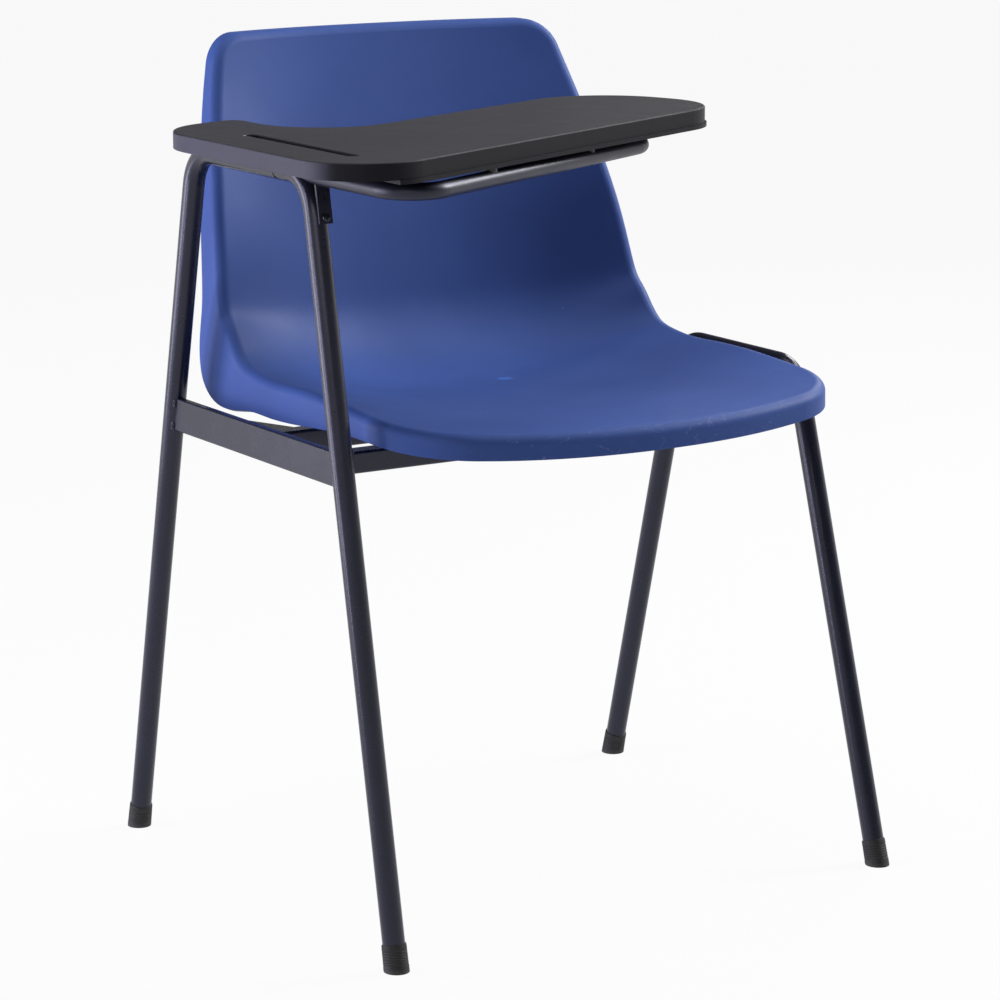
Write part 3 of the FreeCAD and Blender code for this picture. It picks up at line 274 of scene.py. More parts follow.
class Recipe:
    """One material under construction."""

    def __init__(self, name: str) -> None:
        """Starts a material with its shader and output.

        Args:
            name: Name of the material.
        """
        self.material = bpy.data.materials.new(name)
        self.material.use_nodes = True
        self.tree = self.material.node_tree
        self.shader = self.tree.nodes["Principled BSDF"]

    def set(self, **values: object) -> None:
        """Sets plain values on the shader.

        Args:
            values: Value of each input, by lower-case name with underscores for spaces.
        """
        for name, value in values.items():
            label = name.replace("_", " ").title().replace("Ior", "IOR")
            self.shader.inputs[label].default_value = value

    def add(self, group: bpy.types.NodeTree, **values: object) -> bpy.types.Node:
        """Places a shared effect.

        Args:
            group: The effect's node group.
            values: Values of the group's inputs, by lower-case name.

        Returns:
            The group node.
        """
        node = self.tree.nodes.new("ShaderNodeGroup")
        node.node_tree = group
        for label, value in values.items():
            node.inputs[label.title()].default_value = value
        return node

    def over(
        self, mask: bpy.types.NodeSocket, under: bpy.types.NodeSocket, colour: Colour, strength: float
    ) -> bpy.types.NodeSocket:
        """Lays a colour over another by a mask.

        Args:
            mask: Where the colour shows.
            under: Colour below.
            colour: Colour on top.
            strength: Largest share of the top colour.

        Returns:
            The mixed colour.
        """
        mix = self.tree.nodes.new("ShaderNodeMix")
        mix.data_type = "RGBA"
        sockets = {socket.identifier: socket for socket in mix.inputs}
        self.tree.links.new(self.maths("MULTIPLY", mask, strength), sockets["Factor_Float"])
        self.tree.links.new(under, sockets["A_Color"])
        sockets["B_Color"].default_value = (*colour, 1.0)
        return next(out for out in mix.outputs if out.type == "RGBA")

    def maths(self, operation: str, *values: object) -> bpy.types.NodeSocket:
        """Adds a Math node to the material.

        Args:
            operation: Math operation.
            values: A number or a socket for each input.

        Returns:
            The node's result.
        """
        return add_maths(self.tree, operation, *values)

    def axis(self, letter: str) -> bpy.types.NodeSocket:
        """Splits off one Object coordinate.

        Args:
            letter: The coordinate: x, y or z.

        Returns:
            The coordinate.
        """
        split = self.tree.nodes.new("ShaderNodeSeparateXYZ")
        self.tree.links.new(object_place(self.tree), split.inputs[0])
        return split.outputs[letter.upper()]

    def band(self, value: bpy.types.NodeSocket, low: float, high: float) -> bpy.types.NodeSocket:
        """Fades from 0 at low to 1 at high.

        Args:
            value: Value that is compared.
            low: Where the fade starts.
            high: Where it is full.

        Returns:
            The fade.
        """
        fade = self.tree.nodes.new("ShaderNodeMapRange")
        fade.interpolation_type = "SMOOTHSTEP"
        fade.inputs["From Min"].default_value = low
        fade.inputs["From Max"].default_value = high
        self.tree.links.new(value, fade.inputs["Value"])
        return fade.outputs["Result"]

    def paint(self, colour: bpy.types.NodeSocket) -> None:
        """Feeds the shader's base colour.

        Args:
            colour: The colour.
        """
        self.tree.links.new(colour, self.shader.inputs["Base Color"])

    def rough(self, value: bpy.types.NodeSocket, level: float) -> None:
        """Feeds the shader's roughness.

        Args:
            value: Slow change round 1.
            level: Mean roughness.
        """
        self.tree.links.new(self.maths("MULTIPLY", value, level), self.shader.inputs["Roughness"])

    def bump(self, height: bpy.types.NodeSocket, distance: float, strength: float) -> None:
        """Feeds the normal from a height.

        Args:
            height: Surface height.
            distance: Height of one unit, in metres.
            strength: Strength of the effect.
        """
        node = self.tree.nodes.new("ShaderNodeBump")
        node.inputs["Strength"].default_value = strength
        node.inputs["Distance"].default_value = distance
        self.tree.links.new(height, node.inputs["Height"])
        self.tree.links.new(node.outputs["Normal"], self.shader.inputs["Normal"])


@dataclass(frozen=True)
class ShellPlastic:
    """Blue moulded plastic with a satin grain, a gate mark painted as a lighter blue highlight, and a
    scuffed front edge.
    """

    blue: Colour = (0.052, 0.099, 0.325)
    pale: Colour = (0.22, 0.29, 0.52)
    gate_highlight: Colour = (0.08, 0.20, 0.62)
    roughness: float = 0.50
    ior: float = 1.22
    scuff_start: float = -0.20
    scuff_full: float = -0.24
    gate_highlight_centre: Point = (0.0578, 0.0558, 0.4479)
    gate_highlight_radius: float = 0.0095

    def material(self, effects: Effects) -> bpy.types.Material:
        """Makes the material.

        Args:
            effects: Shared node groups.

        Returns:
            The finished material.
        """
        recipe = Recipe("blue_shell_plastic")
        recipe.set(ior=self.ior)
        tone = recipe.add(effects.tone, color=(*self.blue, 1.0), spread=0.17, scale=9.0)
        marks = recipe.add(effects.scratches, scale=160.0, stretch=(0.3, 1.0, 0.5), width=0.006)
        front = recipe.band(recipe.axis("y"), self.scuff_start, self.scuff_full)
        scuffed = recipe.maths("MULTIPLY", marks.outputs["Mask"], front)
        colour = recipe.over(scuffed, tone.outputs["Color"], self.pale, 0.4)
        # Lighter blue disc at the gate mark: a painted highlight.
        gate_highlight = recipe.add(effects.spot, centre=self.gate_highlight_centre, radius=self.gate_highlight_radius)
        colour = recipe.over(gate_highlight.outputs["Mask"], colour, self.gate_highlight, 0.8)
        dust = recipe.add(effects.chips, scale=55.0, share=0.05, radius=0.06)
        colour = recipe.over(dust.outputs["Mask"], colour, self.pale, 0.5)
        recipe.paint(colour)
        recipe.rough(recipe.add(effects.tone, spread=0.22, scale=16.0).outputs["Value"], self.roughness)
        grain = recipe.add(effects.grain, scale=900.0)
        recipe.bump(grain.outputs["Height"], 0.0003, 0.12)
        return recipe.material


@dataclass(frozen=True)
class BlackPaint:
    """Satin blue-black powder paint with a slight orange peel and a few chips."""

    name: str = "satin_black_paint"
    black: Colour = (0.014, 0.014, 0.027)
    bare: Colour = (0.42, 0.42, 0.44)
    sheen: Colour = (0.83, 0.83, 1.0)
    roughness: float = 0.27
    ior: float = 1.46
    chip_share: float = 0.03

    def material(self, effects: Effects) -> bpy.types.Material:
        """Makes the material.

        Args:
            effects: Shared node groups.

        Returns:
            The finished material.
        """
        recipe = Recipe(self.name)
        recipe.set(ior=self.ior, specular_tint=(*self.sheen, 1.0))
        tone = recipe.add(effects.tone, color=(*self.black, 1.0), spread=0.3, scale=22.0)
        chips = recipe.add(effects.chips, scale=70.0, share=self.chip_share, radius=0.11)
        recipe.paint(recipe.over(chips.outputs["Mask"], tone.outputs["Color"], self.bare, 0.8))
        recipe.rough(recipe.add(effects.tone, spread=0.25, scale=40.0).outputs["Value"], self.roughness)
        peel = recipe.add(effects.grain, scale=420.0)
        recipe.bump(peel.outputs["Height"], 0.0004, 0.10)
        return recipe.material


@dataclass(frozen=True)
class BoardPlastic:
    """Writing board: matt pebbled grey top, smoother black edge and groove, outer side painted lighter
    and lavender as a painted sheen.
    """

    grey: Colour = (0.047, 0.046, 0.051)
    black: Colour = (0.008, 0.008, 0.012)
    lit_side_sheen: Colour = (0.064, 0.062, 0.088)
    pale: Colour = (0.24, 0.24, 0.26)
    groove_dot: Colour = (0.75, 0.76, 0.80)
    roughness: float = 0.60
    ior: float = 1.20
    edge_share: float = 0.80
    top_low: float = 0.7056
    top_high: float = 0.7067
    side_inner: float = -0.2960
    side_outer: float = -0.3085
    groove_dot_centre: Point = (-0.2658, -0.0340, 0.7070)
    groove_dot_radius: float = 0.0017

    def material(self, effects: Effects) -> bpy.types.Material:
        """Makes the material.

        Args:
            effects: Shared node groups.

        Returns:
            The finished material.
        """
        recipe = Recipe("grey_writing_board")
        recipe.set(ior=self.ior)
        edge = recipe.band(recipe.axis("z"), self.top_high, self.top_low)
        tone = recipe.add(effects.tone, color=(*self.grey, 1.0), spread=0.08, scale=14.0)
        speck = recipe.add(effects.chips, scale=240.0, share=0.10, radius=0.28)
        colour = recipe.over(speck.outputs["Mask"], tone.outputs["Color"], self.pale, 0.14)
        marks = recipe.add(effects.scratches, scale=60.0, stretch=(1.0, 0.3, 1.0), width=0.002)
        colour = recipe.over(marks.outputs["Mask"], colour, self.pale, 0.08)
        colour = recipe.over(edge, colour, self.black, 0.96)
        # Outer side below the top painted lighter and lavender: a painted sheen of the cool left lamps.
        side = recipe.band(recipe.axis("x"), self.side_inner, self.side_outer)
        colour = recipe.over(recipe.maths("MULTIPLY", edge, side), colour, self.lit_side_sheen, 0.9)
        # A pale dot painted at the rear end of the groove.
        groove_dot = recipe.add(effects.spot, centre=self.groove_dot_centre, radius=self.groove_dot_radius)
        recipe.paint(recipe.over(groove_dot.outputs["Mask"], colour, self.groove_dot, 0.9))
        matt = recipe.add(effects.tone, spread=0.14, scale=30.0).outputs["Value"]
        smoother = recipe.maths("MULTIPLY_ADD", edge, self.edge_share - 1.0, 1.0)
        recipe.rough(recipe.maths("MULTIPLY", matt, smoother), self.roughness)
        pebble = recipe.add(effects.grain, scale=620.0)
        recipe.bump(pebble.outputs["Height"], 0.0005, 0.25)
        return recipe.material


@dataclass(frozen=True)
class FootRubber:
    """Black moulded rubber, dusty at the floor."""

    black: Colour = (0.009, 0.009, 0.010)
    dust: Colour = (0.11, 0.105, 0.10)
    roughness: float = 0.62
    dust_top: float = 0.006

    def material(self, effects: Effects) -> bpy.types.Material:
        """Makes the material.

        Args:
            effects: Shared node groups.

        Returns:
            The finished material.
        """
        recipe = Recipe("black_foot_rubber")
        tone = recipe.add(effects.tone, color=(*self.black, 1.0), spread=0.35, scale=60.0)
        worn = recipe.band(recipe.axis("z"), self.dust_top, 0.0)
        speck = recipe.add(effects.grain, scale=300.0)
        dusty = recipe.maths("MULTIPLY", worn, speck.outputs["Height"])
        recipe.paint(recipe.over(dusty, tone.outputs["Color"], self.dust, 0.45))
        recipe.rough(recipe.add(effects.tone, spread=0.15, scale=80.0).outputs["Value"], self.roughness)
        recipe.bump(recipe.add(effects.grain, scale=1100.0).outputs["Height"], 0.0003, 0.25)
        return recipe.material


@dataclass(frozen=True)
class SmallPlastic:
    """Black plastic of bushes, plug and spacers."""

    black: Colour = (0.015, 0.015, 0.016)
    roughness: float = 0.48

    def material(self, effects: Effects) -> bpy.types.Material:
        """Makes the material.

        Args:
            effects: Shared node groups.

        Returns:
            The finished material.
        """
        recipe = Recipe("black_small_plastic")
        tone = recipe.add(effects.tone, color=(*self.black, 1.0), spread=0.25, scale=50.0)
        recipe.paint(tone.outputs["Color"])
        recipe.rough(tone.outputs["Value"], self.roughness)
        recipe.bump(recipe.add(effects.grain, scale=1300.0).outputs["Height"], 0.0002, 0.2)
        return recipe.material


@dataclass(frozen=True)
class PlainMetal:
    """Bare or plated metal with fine turning marks."""

    name: str
    colour: Colour
    roughness: float

    def material(self, effects: Effects) -> bpy.types.Material:
        """Makes the material.

        Args:
            effects: Shared node groups.

        Returns:
            The finished material.
        """
        recipe = Recipe(self.name)
        recipe.set(metallic=1.0)
        tone = recipe.add(effects.tone, color=(*self.colour, 1.0), spread=0.14, scale=160.0)
        recipe.paint(tone.outputs["Color"])
        recipe.rough(recipe.add(effects.tone, spread=0.3, scale=240.0).outputs["Value"], self.roughness)
        recipe.bump(recipe.add(effects.grain, scale=1500.0).outputs["Height"], 0.0001, 0.2)
        return recipe.material


class Finishes:
    """Every material of the chair, by slot."""

    def __init__(self, effects: Effects) -> None:
        """Makes the materials.

        Args:
            effects: Shared node groups.
        """
        zinc = PlainMetal("bright_zinc", (0.62, 0.62, 0.63), 0.30)
        brass = PlainMetal("plain_brass", (0.68, 0.47, 0.19), 0.33)
        worn = BlackPaint(name="worn_black_paint", roughness=0.40, chip_share=0.05)
        self.by_slot: dict[Slot, bpy.types.Material] = {
            Slot.SHELL: ShellPlastic().material(effects),
            Slot.FRAME: BlackPaint().material(effects),
            Slot.CARRIER: worn.material(effects),
            Slot.BOARD: BoardPlastic().material(effects),
            Slot.FOOT: FootRubber().material(effects),
            Slot.SMALL: SmallPlastic().material(effects),
            Slot.STEEL: zinc.material(effects),
            Slot.BRASS: brass.material(effects),
        }
        weld = BlackPaint(name="weld_paint", roughness=0.13, ior=1.6, chip_share=0.2)
        # Near-black steel for the stop pin: painted shade, so the slot it shows through stays dark.
        shaded_pin_steel = PlainMetal("pin_steel_painted_shade", (0.06, 0.06, 0.065), 0.45)
        self.weld = weld.material(effects)
        self.shaded_pin_steel = shaded_pin_steel.material(effects)

    def dress(self, slot: Slot, *names: str) -> None:
        """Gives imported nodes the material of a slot.

        Args:
            slot: Slot whose material is used.
            names: Names of the nodes.
        """
        self.coat(self.by_slot[slot], *names)

    def coat(self, material: bpy.types.Material, *names: str) -> None:
        """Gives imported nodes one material.

        Args:
            material: The material.
            names: Names of the nodes.
        """
        for name in names:
            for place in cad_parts[name].material_slots:
                place.material = material
            LOG.info("dressed %s in %s", name, material.name)

    def piece(self, name: str, mesh: bmesh.types.BMesh, slot: Slot, body: Body) -> bpy.types.Object:
        """Turns a finished bmesh into a piece of the chair.

        Args:
            name: Name of the piece.
            mesh: The bmesh, which is freed.
            slot: Slot that its finish comes from.
            body: Body that it moves with.

        Returns:
            The new object.
        """
        bmesh.ops.remove_doubles(mesh, verts=mesh.verts, dist=MERGE_DISTANCE)
        bmesh.ops.recalc_face_normals(mesh, faces=mesh.faces)
        for face in mesh.faces:
            face.smooth = True
        for edge in mesh.edges:
            edge.smooth = edge.calc_face_angle(0.0) < SMOOTH_ANGLE
        data = bpy.data.meshes.new(name)
        mesh.to_mesh(data)
        mesh.free()
        data.materials.append(self.by_slot[slot])
        item = bpy.data.objects.new(name, data)
        bpy.context.scene.collection.objects.link(item)
        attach(item, body.value)
        LOG.info("made %s with %d faces", name, len(data.polygons))
        return item


def join(together: bmesh.types.BMesh, one: bmesh.types.BMesh) -> None:
    """Adds one bmesh to another.

    Args:
        together: Bmesh that grows.
        one: Bmesh that is added, and freed.
    """
    data = bpy.data.meshes.new("joined_part")
    one.to_mesh(data)
    one.free()
    together.from_mesh(data)
    bpy.data.meshes.remove(data)


def lathe(section: Section, steps: int) -> bmesh.types.BMesh:
    """Spins a half section once round +Z.

    Args:
        section: Radius and height of each point.
        steps: Faces round the axis.

    Returns:
        The turned shape.
    """
    made = bmesh.new()
    points = [made.verts.new((radius, 0.0, rise)) for radius, rise in section]
    edges = [made.edges.new(pair) for pair in zip(points, points[1:])]
    bmesh.ops.spin(
        made,
        geom=points + edges,
        cent=(0, 0, 0),
        axis=(0, 0, 1),
        dvec=(0, 0, 0),
        angle=math.tau,
        steps=steps,
        use_merge=True,
        use_duplicate=False,
    )
    bmesh.ops.remove_doubles(made, verts=made.verts, dist=MERGE_DISTANCE)
    return made


def stand(made: bmesh.types.BMesh, place: Point | Vector, way: Point | Vector) -> None:
    """Turns a shape's +Z to a direction and moves its origin to a place.

    Args:
        made: Shape that moves.
        place: Where its origin goes.
        way: Direction that its +Z takes.
    """
    turn = Vector((0, 0, 1)).rotation_difference(Vector(way)).to_matrix().to_4x4()
    bmesh.ops.transform(made, matrix=Matrix.Translation(place) @ turn, verts=made.verts)


@dataclass
class FootFerrules:
    """Four ribbed ferrules, spun about each leg's line and cut level with the floor."""

    outside: float = 0.0114
    top: float = 0.0110
    bore: float = 0.01006
    height: float = 0.024
    sole: float = 0.006
    rib_depth: float = 0.00035
    rib_end: float = 0.84
    rib_low: float = 0.3
    rib_high: float = 0.75
    rim_low: float = 0.94
    rim_high: float = 0.99
    rim_round: float = 0.0003
    below_floor: float = 1.5
    first_groove: float = 0.8
    ribs: int = 6
    steps: int = 56
    feet: dict[str, tuple[Point, Point]] = field(
        default_factory=lambda: {
            "foot_front_right": ((-0.23735, -0.23599, 0.0), (0.0, 0.136, 0.678)),
            "foot_rear_right": ((-0.23735, 0.26001, 0.0), (0.0, -0.148, 0.678)),
            "foot_front_left": ((0.29865, -0.22349, 0.0), (0.0, 0.1415, 0.4575)),
            "foot_rear_left": ((0.29865, 0.22501, 0.0), (0.0, -0.121, 0.4575)),
        }
    )

    def profile(self) -> Section:
        """Lists the half section.

        Returns:
            Radius and height of each point, from the axis round to the axis.
        """
        below = -self.sole * self.below_floor
        line = [(0.0, below), (self.outside, below), (self.outside, self.sole * self.first_groove)]
        pitch = (self.height * self.rib_end - self.sole) / self.ribs
        for rib in range(self.ribs):
            foot = self.sole + rib * pitch
            share = foot / self.height
            radius = self.outside + (self.top - self.outside) * share
            line.append((radius - self.rib_depth, foot))
            line.append((radius, foot + pitch * self.rib_low))
            line.append((radius, foot + pitch * self.rib_high))
        line.append((self.top, self.height * self.rim_low))
        line.append((self.top - self.rim_round, self.height * self.rim_high))
        line.append((self.bore, self.height))
        line.append((self.bore, self.sole))
        line.append((0.0, self.sole))
        return line

    def mesh(self, foot: Point, way: Point) -> bmesh.types.BMesh:
        """Builds one ferrule in place.

        Args:
            foot: Leg's centre on the floor.
            way: Direction up the leg.

        Returns:
            The ferrule.
        """
        made = lathe(self.profile(), self.steps)
        stand(made, foot, way)
        everything = made.verts[:] + made.edges[:] + made.faces[:]
        bmesh.ops.bisect_plane(
            made, geom=everything, plane_co=(0, 0, 0), plane_no=(0, 0, 1), clear_inner=True
        )
        bmesh.ops.holes_fill(made, edges=[edge for edge in made.edges if edge.is_boundary])
        return made

    def build(self, finishes: Finishes) -> None:
        """Makes the four ferrules in place of their plain nodes.

        Args:
            finishes: Materials of the chair.
        """
        for name, (foot, way) in self.feet.items():
            piece = finishes.piece("ribbed_" + name, self.mesh(foot, way), Slot.FOOT, Body.CHAIR)
            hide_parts(name)


@dataclass
class WeldBeads:
    """Rippled weld beads where rails, bars and legs meet."""

    radius: float = 0.0021
    ripple: float = 0.16
    cuts: int = 26
    segments: int = 14
    right_x: float = -0.23735
    left_x: float = 0.29865
    rail_half: float = 0.004
    low: float = 0.4122
    rail_top: float = 0.4420
    bar_top: float = 0.4313
    bar_low: float = 0.4130
    front_bar: float = -0.0931
    rear_bar: float = 0.0180
    bar_half: float = 0.0102
    proud: float = 0.0004
    off_rail: float = 0.0008
    off_leg: float = 0.006
    short: float = 0.008
    ripple_length: float = 0.0011
    end_share: float = 0.08
    right_ends: tuple[tuple[float, float], ...] = ((0.1590, -0.2183), (-0.1421, 0.2006))
    left_ends: tuple[tuple[float, float], ...] = ((0.1042, -0.2645), (-0.0838, 0.3093))

    def rail_runs(self) -> list[Run]:
        """Lists the beads where the side rails meet the legs.

        Returns:
            The start and end of each bead, on both faces of both rails.
        """
        found: list[Run] = []
        middle = (self.rail_top + self.low) / 2
        left_middle = (self.bar_top + self.low) / 2
        heights = (
            (self.rail_top, self.rail_top - self.short),
            (self.low + self.short, self.low),
        )
        for side in (-1, 1):
            x = self.right_x + side * (self.rail_half + self.proud)
            for y, lean in self.right_ends:
                for start, end in heights:
                    upper = (x, y + lean * (start - middle), start)
                    lower = (x, y + lean * (end - middle), end)
                    found.append((upper, lower))
            x = self.left_x + side * (self.rail_half + self.proud)
            for y, lean in self.left_ends:
                upper = (x, y + lean * (self.bar_top - left_middle), self.bar_top)
                found.append((upper, (x, y, left_middle)))
        return found

    def bar_runs(self) -> list[Run]:
        """Lists the beads where the cross bars meet the rails and the left leg.

        Returns:
            The start and end of each bead.
        """
        found: list[Run] = []
        right = self.right_x + self.rail_half + self.off_rail
        left_rail = self.left_x - self.rail_half - self.off_rail
        left_leg = self.left_x - self.off_leg
        top = self.bar_top + self.proud
        for bar in (self.front_bar, self.rear_bar):
            near, far = bar - self.bar_half, bar + self.bar_half
            for face in (near, far):
                found.append(((right, face, self.bar_top), (right, face, self.bar_low)))
            found.append(((right, near, top), (right, far, top)))
        for bar, x in ((self.rear_bar, left_rail), (self.front_bar, left_leg)):
            for face in (bar - self.bar_half, bar + self.bar_half):
                found.append(((x, face, self.bar_top), (x, face, self.bar_low)))
        return found

    def bead(self, start: Point, end: Point) -> bmesh.types.BMesh:
        """Builds one bead in place.

        Args:
            start: Bead's start.
            end: Bead's end.

        Returns:
            The bead.
        """
        way = Vector(end) - Vector(start)
        length = way.length
        made = bmesh.new()
        bmesh.ops.create_cone(
            made,
            cap_ends=True,
            segments=self.segments,
            radius1=self.radius,
            radius2=self.radius,
            depth=length,
        )
        sides = [edge for edge in made.edges if edge.calc_length() > length * 0.9]
        bmesh.ops.subdivide_edges(made, edges=sides, cuts=self.cuts)
        for vert in made.verts:
            share = vert.co.z / length + 0.5
            end_fade = math.sqrt(max(1.0 - (2.0 * share - 1.0) ** 6, self.end_share))
            wave = 1.0 + self.ripple * math.sin(share * length / self.ripple_length * math.pi)
            vert.co.x *= end_fade * wave
            vert.co.y *= end_fade * wave
        stand(made, (Vector(start) + Vector(end)) / 2, way)
        return made

    def build(self, finishes: Finishes) -> None:
        """Makes all beads as one painted piece.

        Args:
            finishes: Materials of the chair.
        """
        made = bmesh.new()
        for start, end in self.rail_runs() + self.bar_runs():
            join(made, self.bead(start, end))
        beads = finishes.piece("weld_beads", made, Slot.FRAME, Body.CHAIR)
        beads.material_slots[0].material = finishes.weld


@dataclass
class CrossScrew:
    """Domed screw head with a cross recess."""

    radius: float
    height: float
    shank: float
    reach: float
    steps: int = 40
    tip: float = 0.7
    taper: float = 0.5
    recess_span: float = 1.05
    recess_width: float = 0.26
    recess_depth: float = 1.1
    dome: tuple[tuple[float, float], ...] = (
        (1.0, 0.0),
        (1.0, 0.45),
        (0.9, 0.78),
        (0.62, 0.95),
        (0.3, 1.0),
        (0.0, 1.0),
    )

    def profile(self) -> Section:
        """Lists the half section.

        Returns:
            Radius and height of each point, from the shank's tip to the crown.
        """
        shank = [
            (0.0, -self.reach),
            (self.shank * self.tip, -self.reach),
            (self.shank, -self.reach + self.shank * self.taper),
            (self.shank, 0.0),
        ]
        return shank + [(self.radius * across, self.height * up) for across, up in self.dome]

    def mesh(self) -> bmesh.types.BMesh:
        """Builds the screw along +Z with its seat at the origin.

        Returns:
            The screw without its recess.
        """
        made = lathe(self.profile(), self.steps)
        bmesh.ops.recalc_face_normals(made, faces=made.faces)
        return made

    def recess(self) -> bmesh.types.BMesh:
        """Builds the cross that is cut into the crown.

        Returns:
            Two crossed bars.
        """
        made = bmesh.new()
        for turn in (0.0, math.pi / 2):
            bar = bmesh.ops.create_cube(made, size=1.0)["verts"]
            size = (
                self.radius * self.recess_span,
                self.radius * self.recess_width,
                self.height * self.recess_depth,
            )
            bmesh.ops.scale(made, vec=size, verts=bar)
            bmesh.ops.rotate(made, cent=(0, 0, 0), matrix=Matrix.Rotation(turn, 3, "Z"), verts=bar)
            bmesh.ops.translate(made, vec=(0, 0, self.height), verts=bar)
        return made

    def cut_mesh(self) -> bmesh.types.BMesh:
        """Builds the screw with its recess cut out.

        Returns:
            The finished screw, at the origin.
        """
        items = []
        for name, made in (("screw_blank", self.mesh()), ("screw_recess", self.recess())):
            data = bpy.data.meshes.new(name)
            made.to_mesh(data)
            made.free()
            item = bpy.data.objects.new(name, data)
            bpy.context.scene.collection.objects.link(item)
            items.append(item)
        blank, tool = items
        modifier = blank.modifiers.new("recess", "BOOLEAN")
        modifier.operation = "DIFFERENCE"
        modifier.solver = "EXACT"
        modifier.use_self = True
        modifier.object = tool
        graph = bpy.context.evaluated_depsgraph_get()
        result = bmesh.new()
        result.from_mesh(blank.evaluated_get(graph).to_mesh())
        for item in items:
            data = item.data
            bpy.data.objects.remove(item)
            bpy.data.meshes.remove(data)
        return result

    def placed(self, seat: Point, way: Point) -> bmesh.types.BMesh:
        """Builds the screw at a place.

        Args:
            seat: Where the head's underside sits.
            way: Direction that the head faces.

        Returns:
            The screw in place.
        """
        made = self.cut_mesh()
        stand(made, seat, way)
        return made


@dataclass
class Fasteners:
    """Screws that show: one in the rest plate and four in the cross bars."""

    plate_seat: Point = (-0.23435, -0.119815, 0.642706)
    plate_way: Point = (0.0, -0.678, 0.136)
    seat_xs: tuple[float, float] = (-0.07935, 0.14065)
    seat_ys: tuple[float, float] = (-0.0931, 0.01801)
    seat_z: float = 0.4285

    def build(self, finishes: Finishes) -> None:
        """Makes the screws in place of their plain nodes.

        Args:
            finishes: Materials of the chair.
        """
        plate = CrossScrew(radius=0.00375, height=0.0024, shank=0.002, reach=0.0105)
        mesh = plate.placed(self.plate_seat, self.plate_way)
        piece = finishes.piece("rest_plate_cross_screw", mesh, Slot.FRAME, Body.CHAIR)
        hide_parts("rest_plate_screw")
        under = CrossScrew(radius=0.0055, height=0.004, shank=0.003, reach=0.0148)
        together = bmesh.new()
        for x in self.seat_xs:
            for y in self.seat_ys:
                join(together, under.placed((x, y, self.seat_z), (0, 0, -1)))
        piece = finishes.piece("seat_cross_screws", together, Slot.STEEL, Body.CHAIR)
        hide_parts("seat_screws")


@dataclass
class ChairBody:
    """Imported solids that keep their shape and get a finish."""

    frame_nodes: tuple[str, ...] = (
        "right_side_frame_tube",
        "left_side_frame_tube",
        "right_side_rail",
        "left_side_rail",
        "front_cross_bar",
        "rear_cross_bar",
        "rail_gusset",
        "carrier_rest_plate",
    )
    small_nodes: tuple[str, ...] = (
        "front_pivot_bush",
        "rear_pivot_bush",
        "carrier_end_plug",
        "board_spacers",
    )
    steel_nodes: tuple[str, ...] = ("seat_washers", "board_screws")

    def build(self, finishes: Finishes) -> None:
        """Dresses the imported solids.

        Args:
            finishes: Materials of the chair.
        """
        finishes.dress(Slot.FRAME, *self.frame_nodes)
        finishes.dress(Slot.SMALL, *self.small_nodes)
        finishes.dress(Slot.STEEL, *self.steel_nodes)
        finishes.dress(Slot.BRASS, "seat_inserts")
        # The stop pin gets the near-black steel that paints the slot's shade.
        finishes.coat(finishes.shaded_pin_steel, "stop_pin")
        finishes.dress(Slot.SHELL, "seat_shell")
        finishes.dress(Slot.CARRIER, "tablet_carrier_tube")
        finishes.dress(Slot.BOARD, "tablet_board")


@dataclass(frozen=True)
class SoftBox:
    """One soft studio lamp."""

    name: str
    place: Point
    aim: Point
    size: tuple[float, float]
    power: float
    colour: Colour = (1.0, 1.0, 1.0)

    def build(self) -> None:
        """Makes the lamp."""
        lamp = bpy.data.lights.new(self.name, "AREA")
        lamp.shape = "RECTANGLE"
        lamp.size, lamp.size_y = self.size
        lamp.energy = self.power
        lamp.color = self.colour
        item = bpy.data.objects.new(self.name, lamp)
        item.location = self.place
        way = Vector(self.aim) - Vector(self.place)
        item.rotation_euler = way.to_track_quat("-Z", "Y").to_euler()
        bpy.context.scene.collection.objects.link(item)


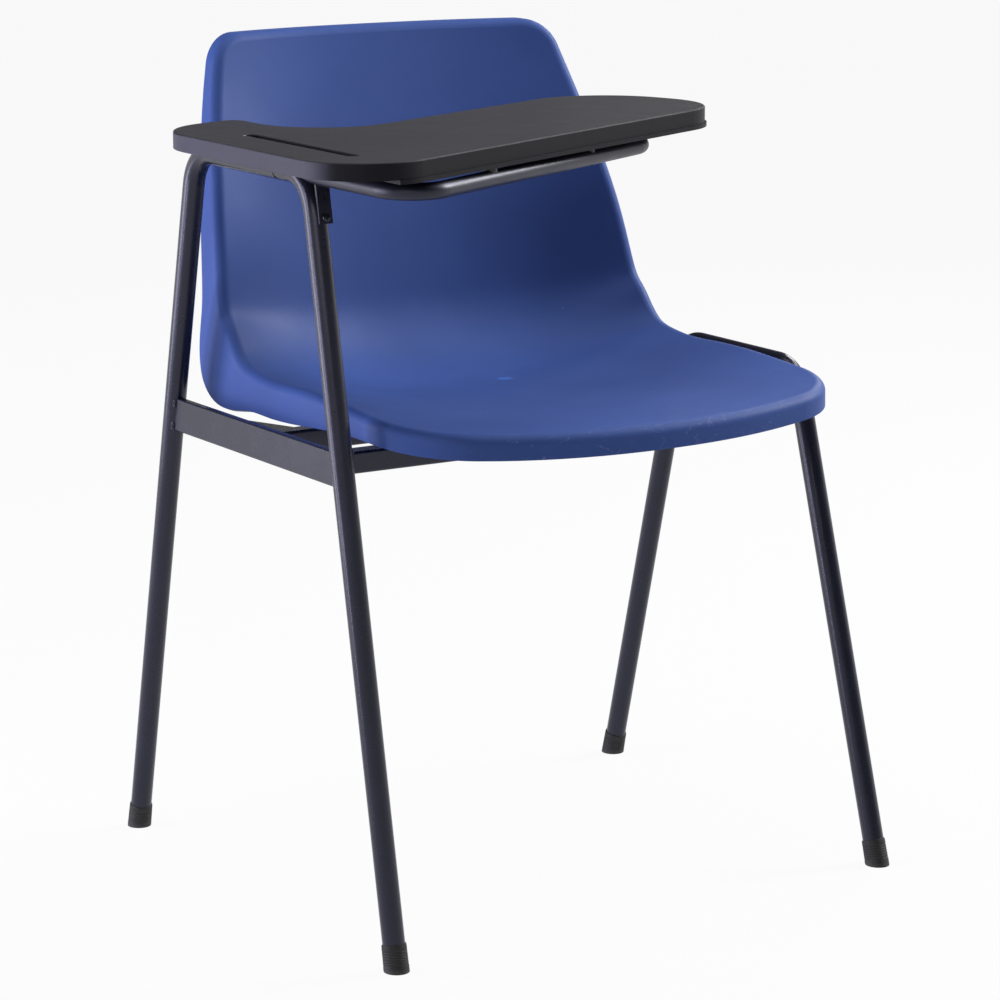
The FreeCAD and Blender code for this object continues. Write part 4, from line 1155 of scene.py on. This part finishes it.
@dataclass
class Studio:
    """White floor, dim surroundings, soft lamps and the photograph's camera."""

    floor_half: float = 40.0
    wall_height: float = 7.0
    floor_white: float = 0.62
    floor_rough: float = 0.9
    floor_glow: float = 0.94
    ambient: float = 0.06
    ambient_tint: Colour = (0.95, 0.96, 1.0)
    lamps: tuple[SoftBox, ...] = (
        SoftBox("key_right", (3.0, -0.45, 2.1), (0.0, 0.0, 0.5), (0.9, 0.9), 94.0),
        SoftBox("rear_right", (2.6, 1.6, 2.0), (0.0, 0.0, 0.5), (0.8, 1.0), 22.0),
        SoftBox("high_right", (1.85, 0.1, 2.0), (-0.1, 0.05, 0.5), (0.5, 0.9), 15.0, (0.95, 0.95, 1.0)),
        SoftBox("rear_left", (-1.45, 0.95, 0.7), (-0.1, 0.0, 0.5), (0.7, 1.3), 21.0, COOL),
        SoftBox("strip_left", (-1.75, 0.30, 0.62), (-0.2, 0.0, 0.45), (0.22, 1.2), 10.0, COOL),
        SoftBox("front_left", (-1.15, -1.05, 1.25), (-0.1, 0.1, 0.6), (0.9, 0.9), 6.0),
        SoftBox("top", (-0.2, 0.1, 2.4), (0.0, 0.0, 0.5), (1.2, 1.2), 13.0),
    )
    eye: Point = (-1.72385, -2.76449, 1.0568)
    azimuth: float = -32.2
    elevation: float = 12.3
    lens: float = 128.376
    sensor: float = 36.0
    sight: float = 200.0

    def floor(self) -> None:
        """Makes the white floor, which keeps the chair's soft shadow, with a far wall round it."""
        made = bmesh.new()
        bmesh.ops.create_grid(made, x_segments=1, y_segments=1, size=self.floor_half)
        rim = bmesh.ops.extrude_edge_only(made, edges=made.edges[:])["geom"]
        raised = [item for item in rim if isinstance(item, bmesh.types.BMVert)]
        bmesh.ops.translate(made, verts=raised, vec=(0.0, 0.0, self.wall_height))
        data = bpy.data.meshes.new("studio_floor")
        made.to_mesh(data)
        made.free()
        item = bpy.data.objects.new("studio_floor", data)
        bpy.context.scene.collection.objects.link(item)
        material = bpy.data.materials.new("white_floor")
        material.use_nodes = True
        tree = material.node_tree
        shader = tree.nodes["Principled BSDF"]
        white = (self.floor_white,) * 3 + (1.0,)
        shader.inputs["Base Color"].default_value = white
        shader.inputs["Roughness"].default_value = self.floor_rough
        glow = tree.nodes.new("ShaderNodeEmission")
        mix = tree.nodes.new("ShaderNodeMixShader")
        tree.links.new(self.seen(tree, self.floor_glow), mix.inputs[0])
        tree.links.new(shader.outputs[0], mix.inputs[1])
        tree.links.new(glow.outputs[0], mix.inputs[2])
        tree.links.new(mix.outputs[0], tree.nodes["Material Output"].inputs["Surface"])
        data.materials.append(material)

    @staticmethod
    def seen(tree: bpy.types.NodeTree, level: float) -> bpy.types.NodeSocket:
        """Adds a factor for rays that look at the surroundings.

        Args:
            tree: Tree that gets the nodes.
            level: Factor for those rays.

        Returns:
            The level for camera, glossy and transmission rays, or else 0.
        """
        path = tree.nodes.new("ShaderNodeLightPath")
        total = path.outputs["Is Camera Ray"]
        for label in ("Is Glossy Ray", "Is Transmission Ray"):
            total = add_maths(tree, "MAXIMUM", total, path.outputs[label])
        return add_maths(tree, "MULTIPLY", total, level)

    def world(self) -> None:
        """Makes the dim, even surroundings."""
        world = bpy.data.worlds.new("even_surroundings")
        world.use_nodes = True
        tree = world.node_tree
        back = tree.nodes["Background"]
        back.inputs["Color"].default_value = (*self.ambient_tint, 1.0)
        back.inputs["Strength"].default_value = self.ambient
        bpy.context.scene.world = world

    def camera(self) -> None:
        """Makes the camera at the photograph's place."""
        data = bpy.data.cameras.new("photo_camera")
        data.lens = self.lens
        data.sensor_width = self.sensor
        data.clip_end = self.sight
        item = bpy.data.objects.new("photo_camera", data)
        item.location = self.eye
        turn = (math.radians(90.0 - self.elevation), 0.0, math.radians(self.azimuth))
        item.rotation_euler = turn
        bpy.context.scene.collection.objects.link(item)
        bpy.context.scene.camera = item

    def build(self) -> None:
        """Makes the whole studio."""
        bpy.context.scene.view_settings.view_transform = "Standard"
        self.floor()
        self.world()
        for lamp in self.lamps:
            lamp.build()
        self.camera()
        LOG.info("studio ready with %d lamps", len(self.lamps))


def main() -> None:
    """Builds the chair's looks and the studio."""
    logging.basicConfig(level=logging.INFO, format="%(name)s: %(message)s")
    finishes = Finishes(Effects())
    ChairBody().build(finishes)
    FootFerrules().build(finishes)
    WeldBeads().build(finishes)
    Fasteners().build(finishes)
    Studio().build()


if __name__ == "__main__":
    main()
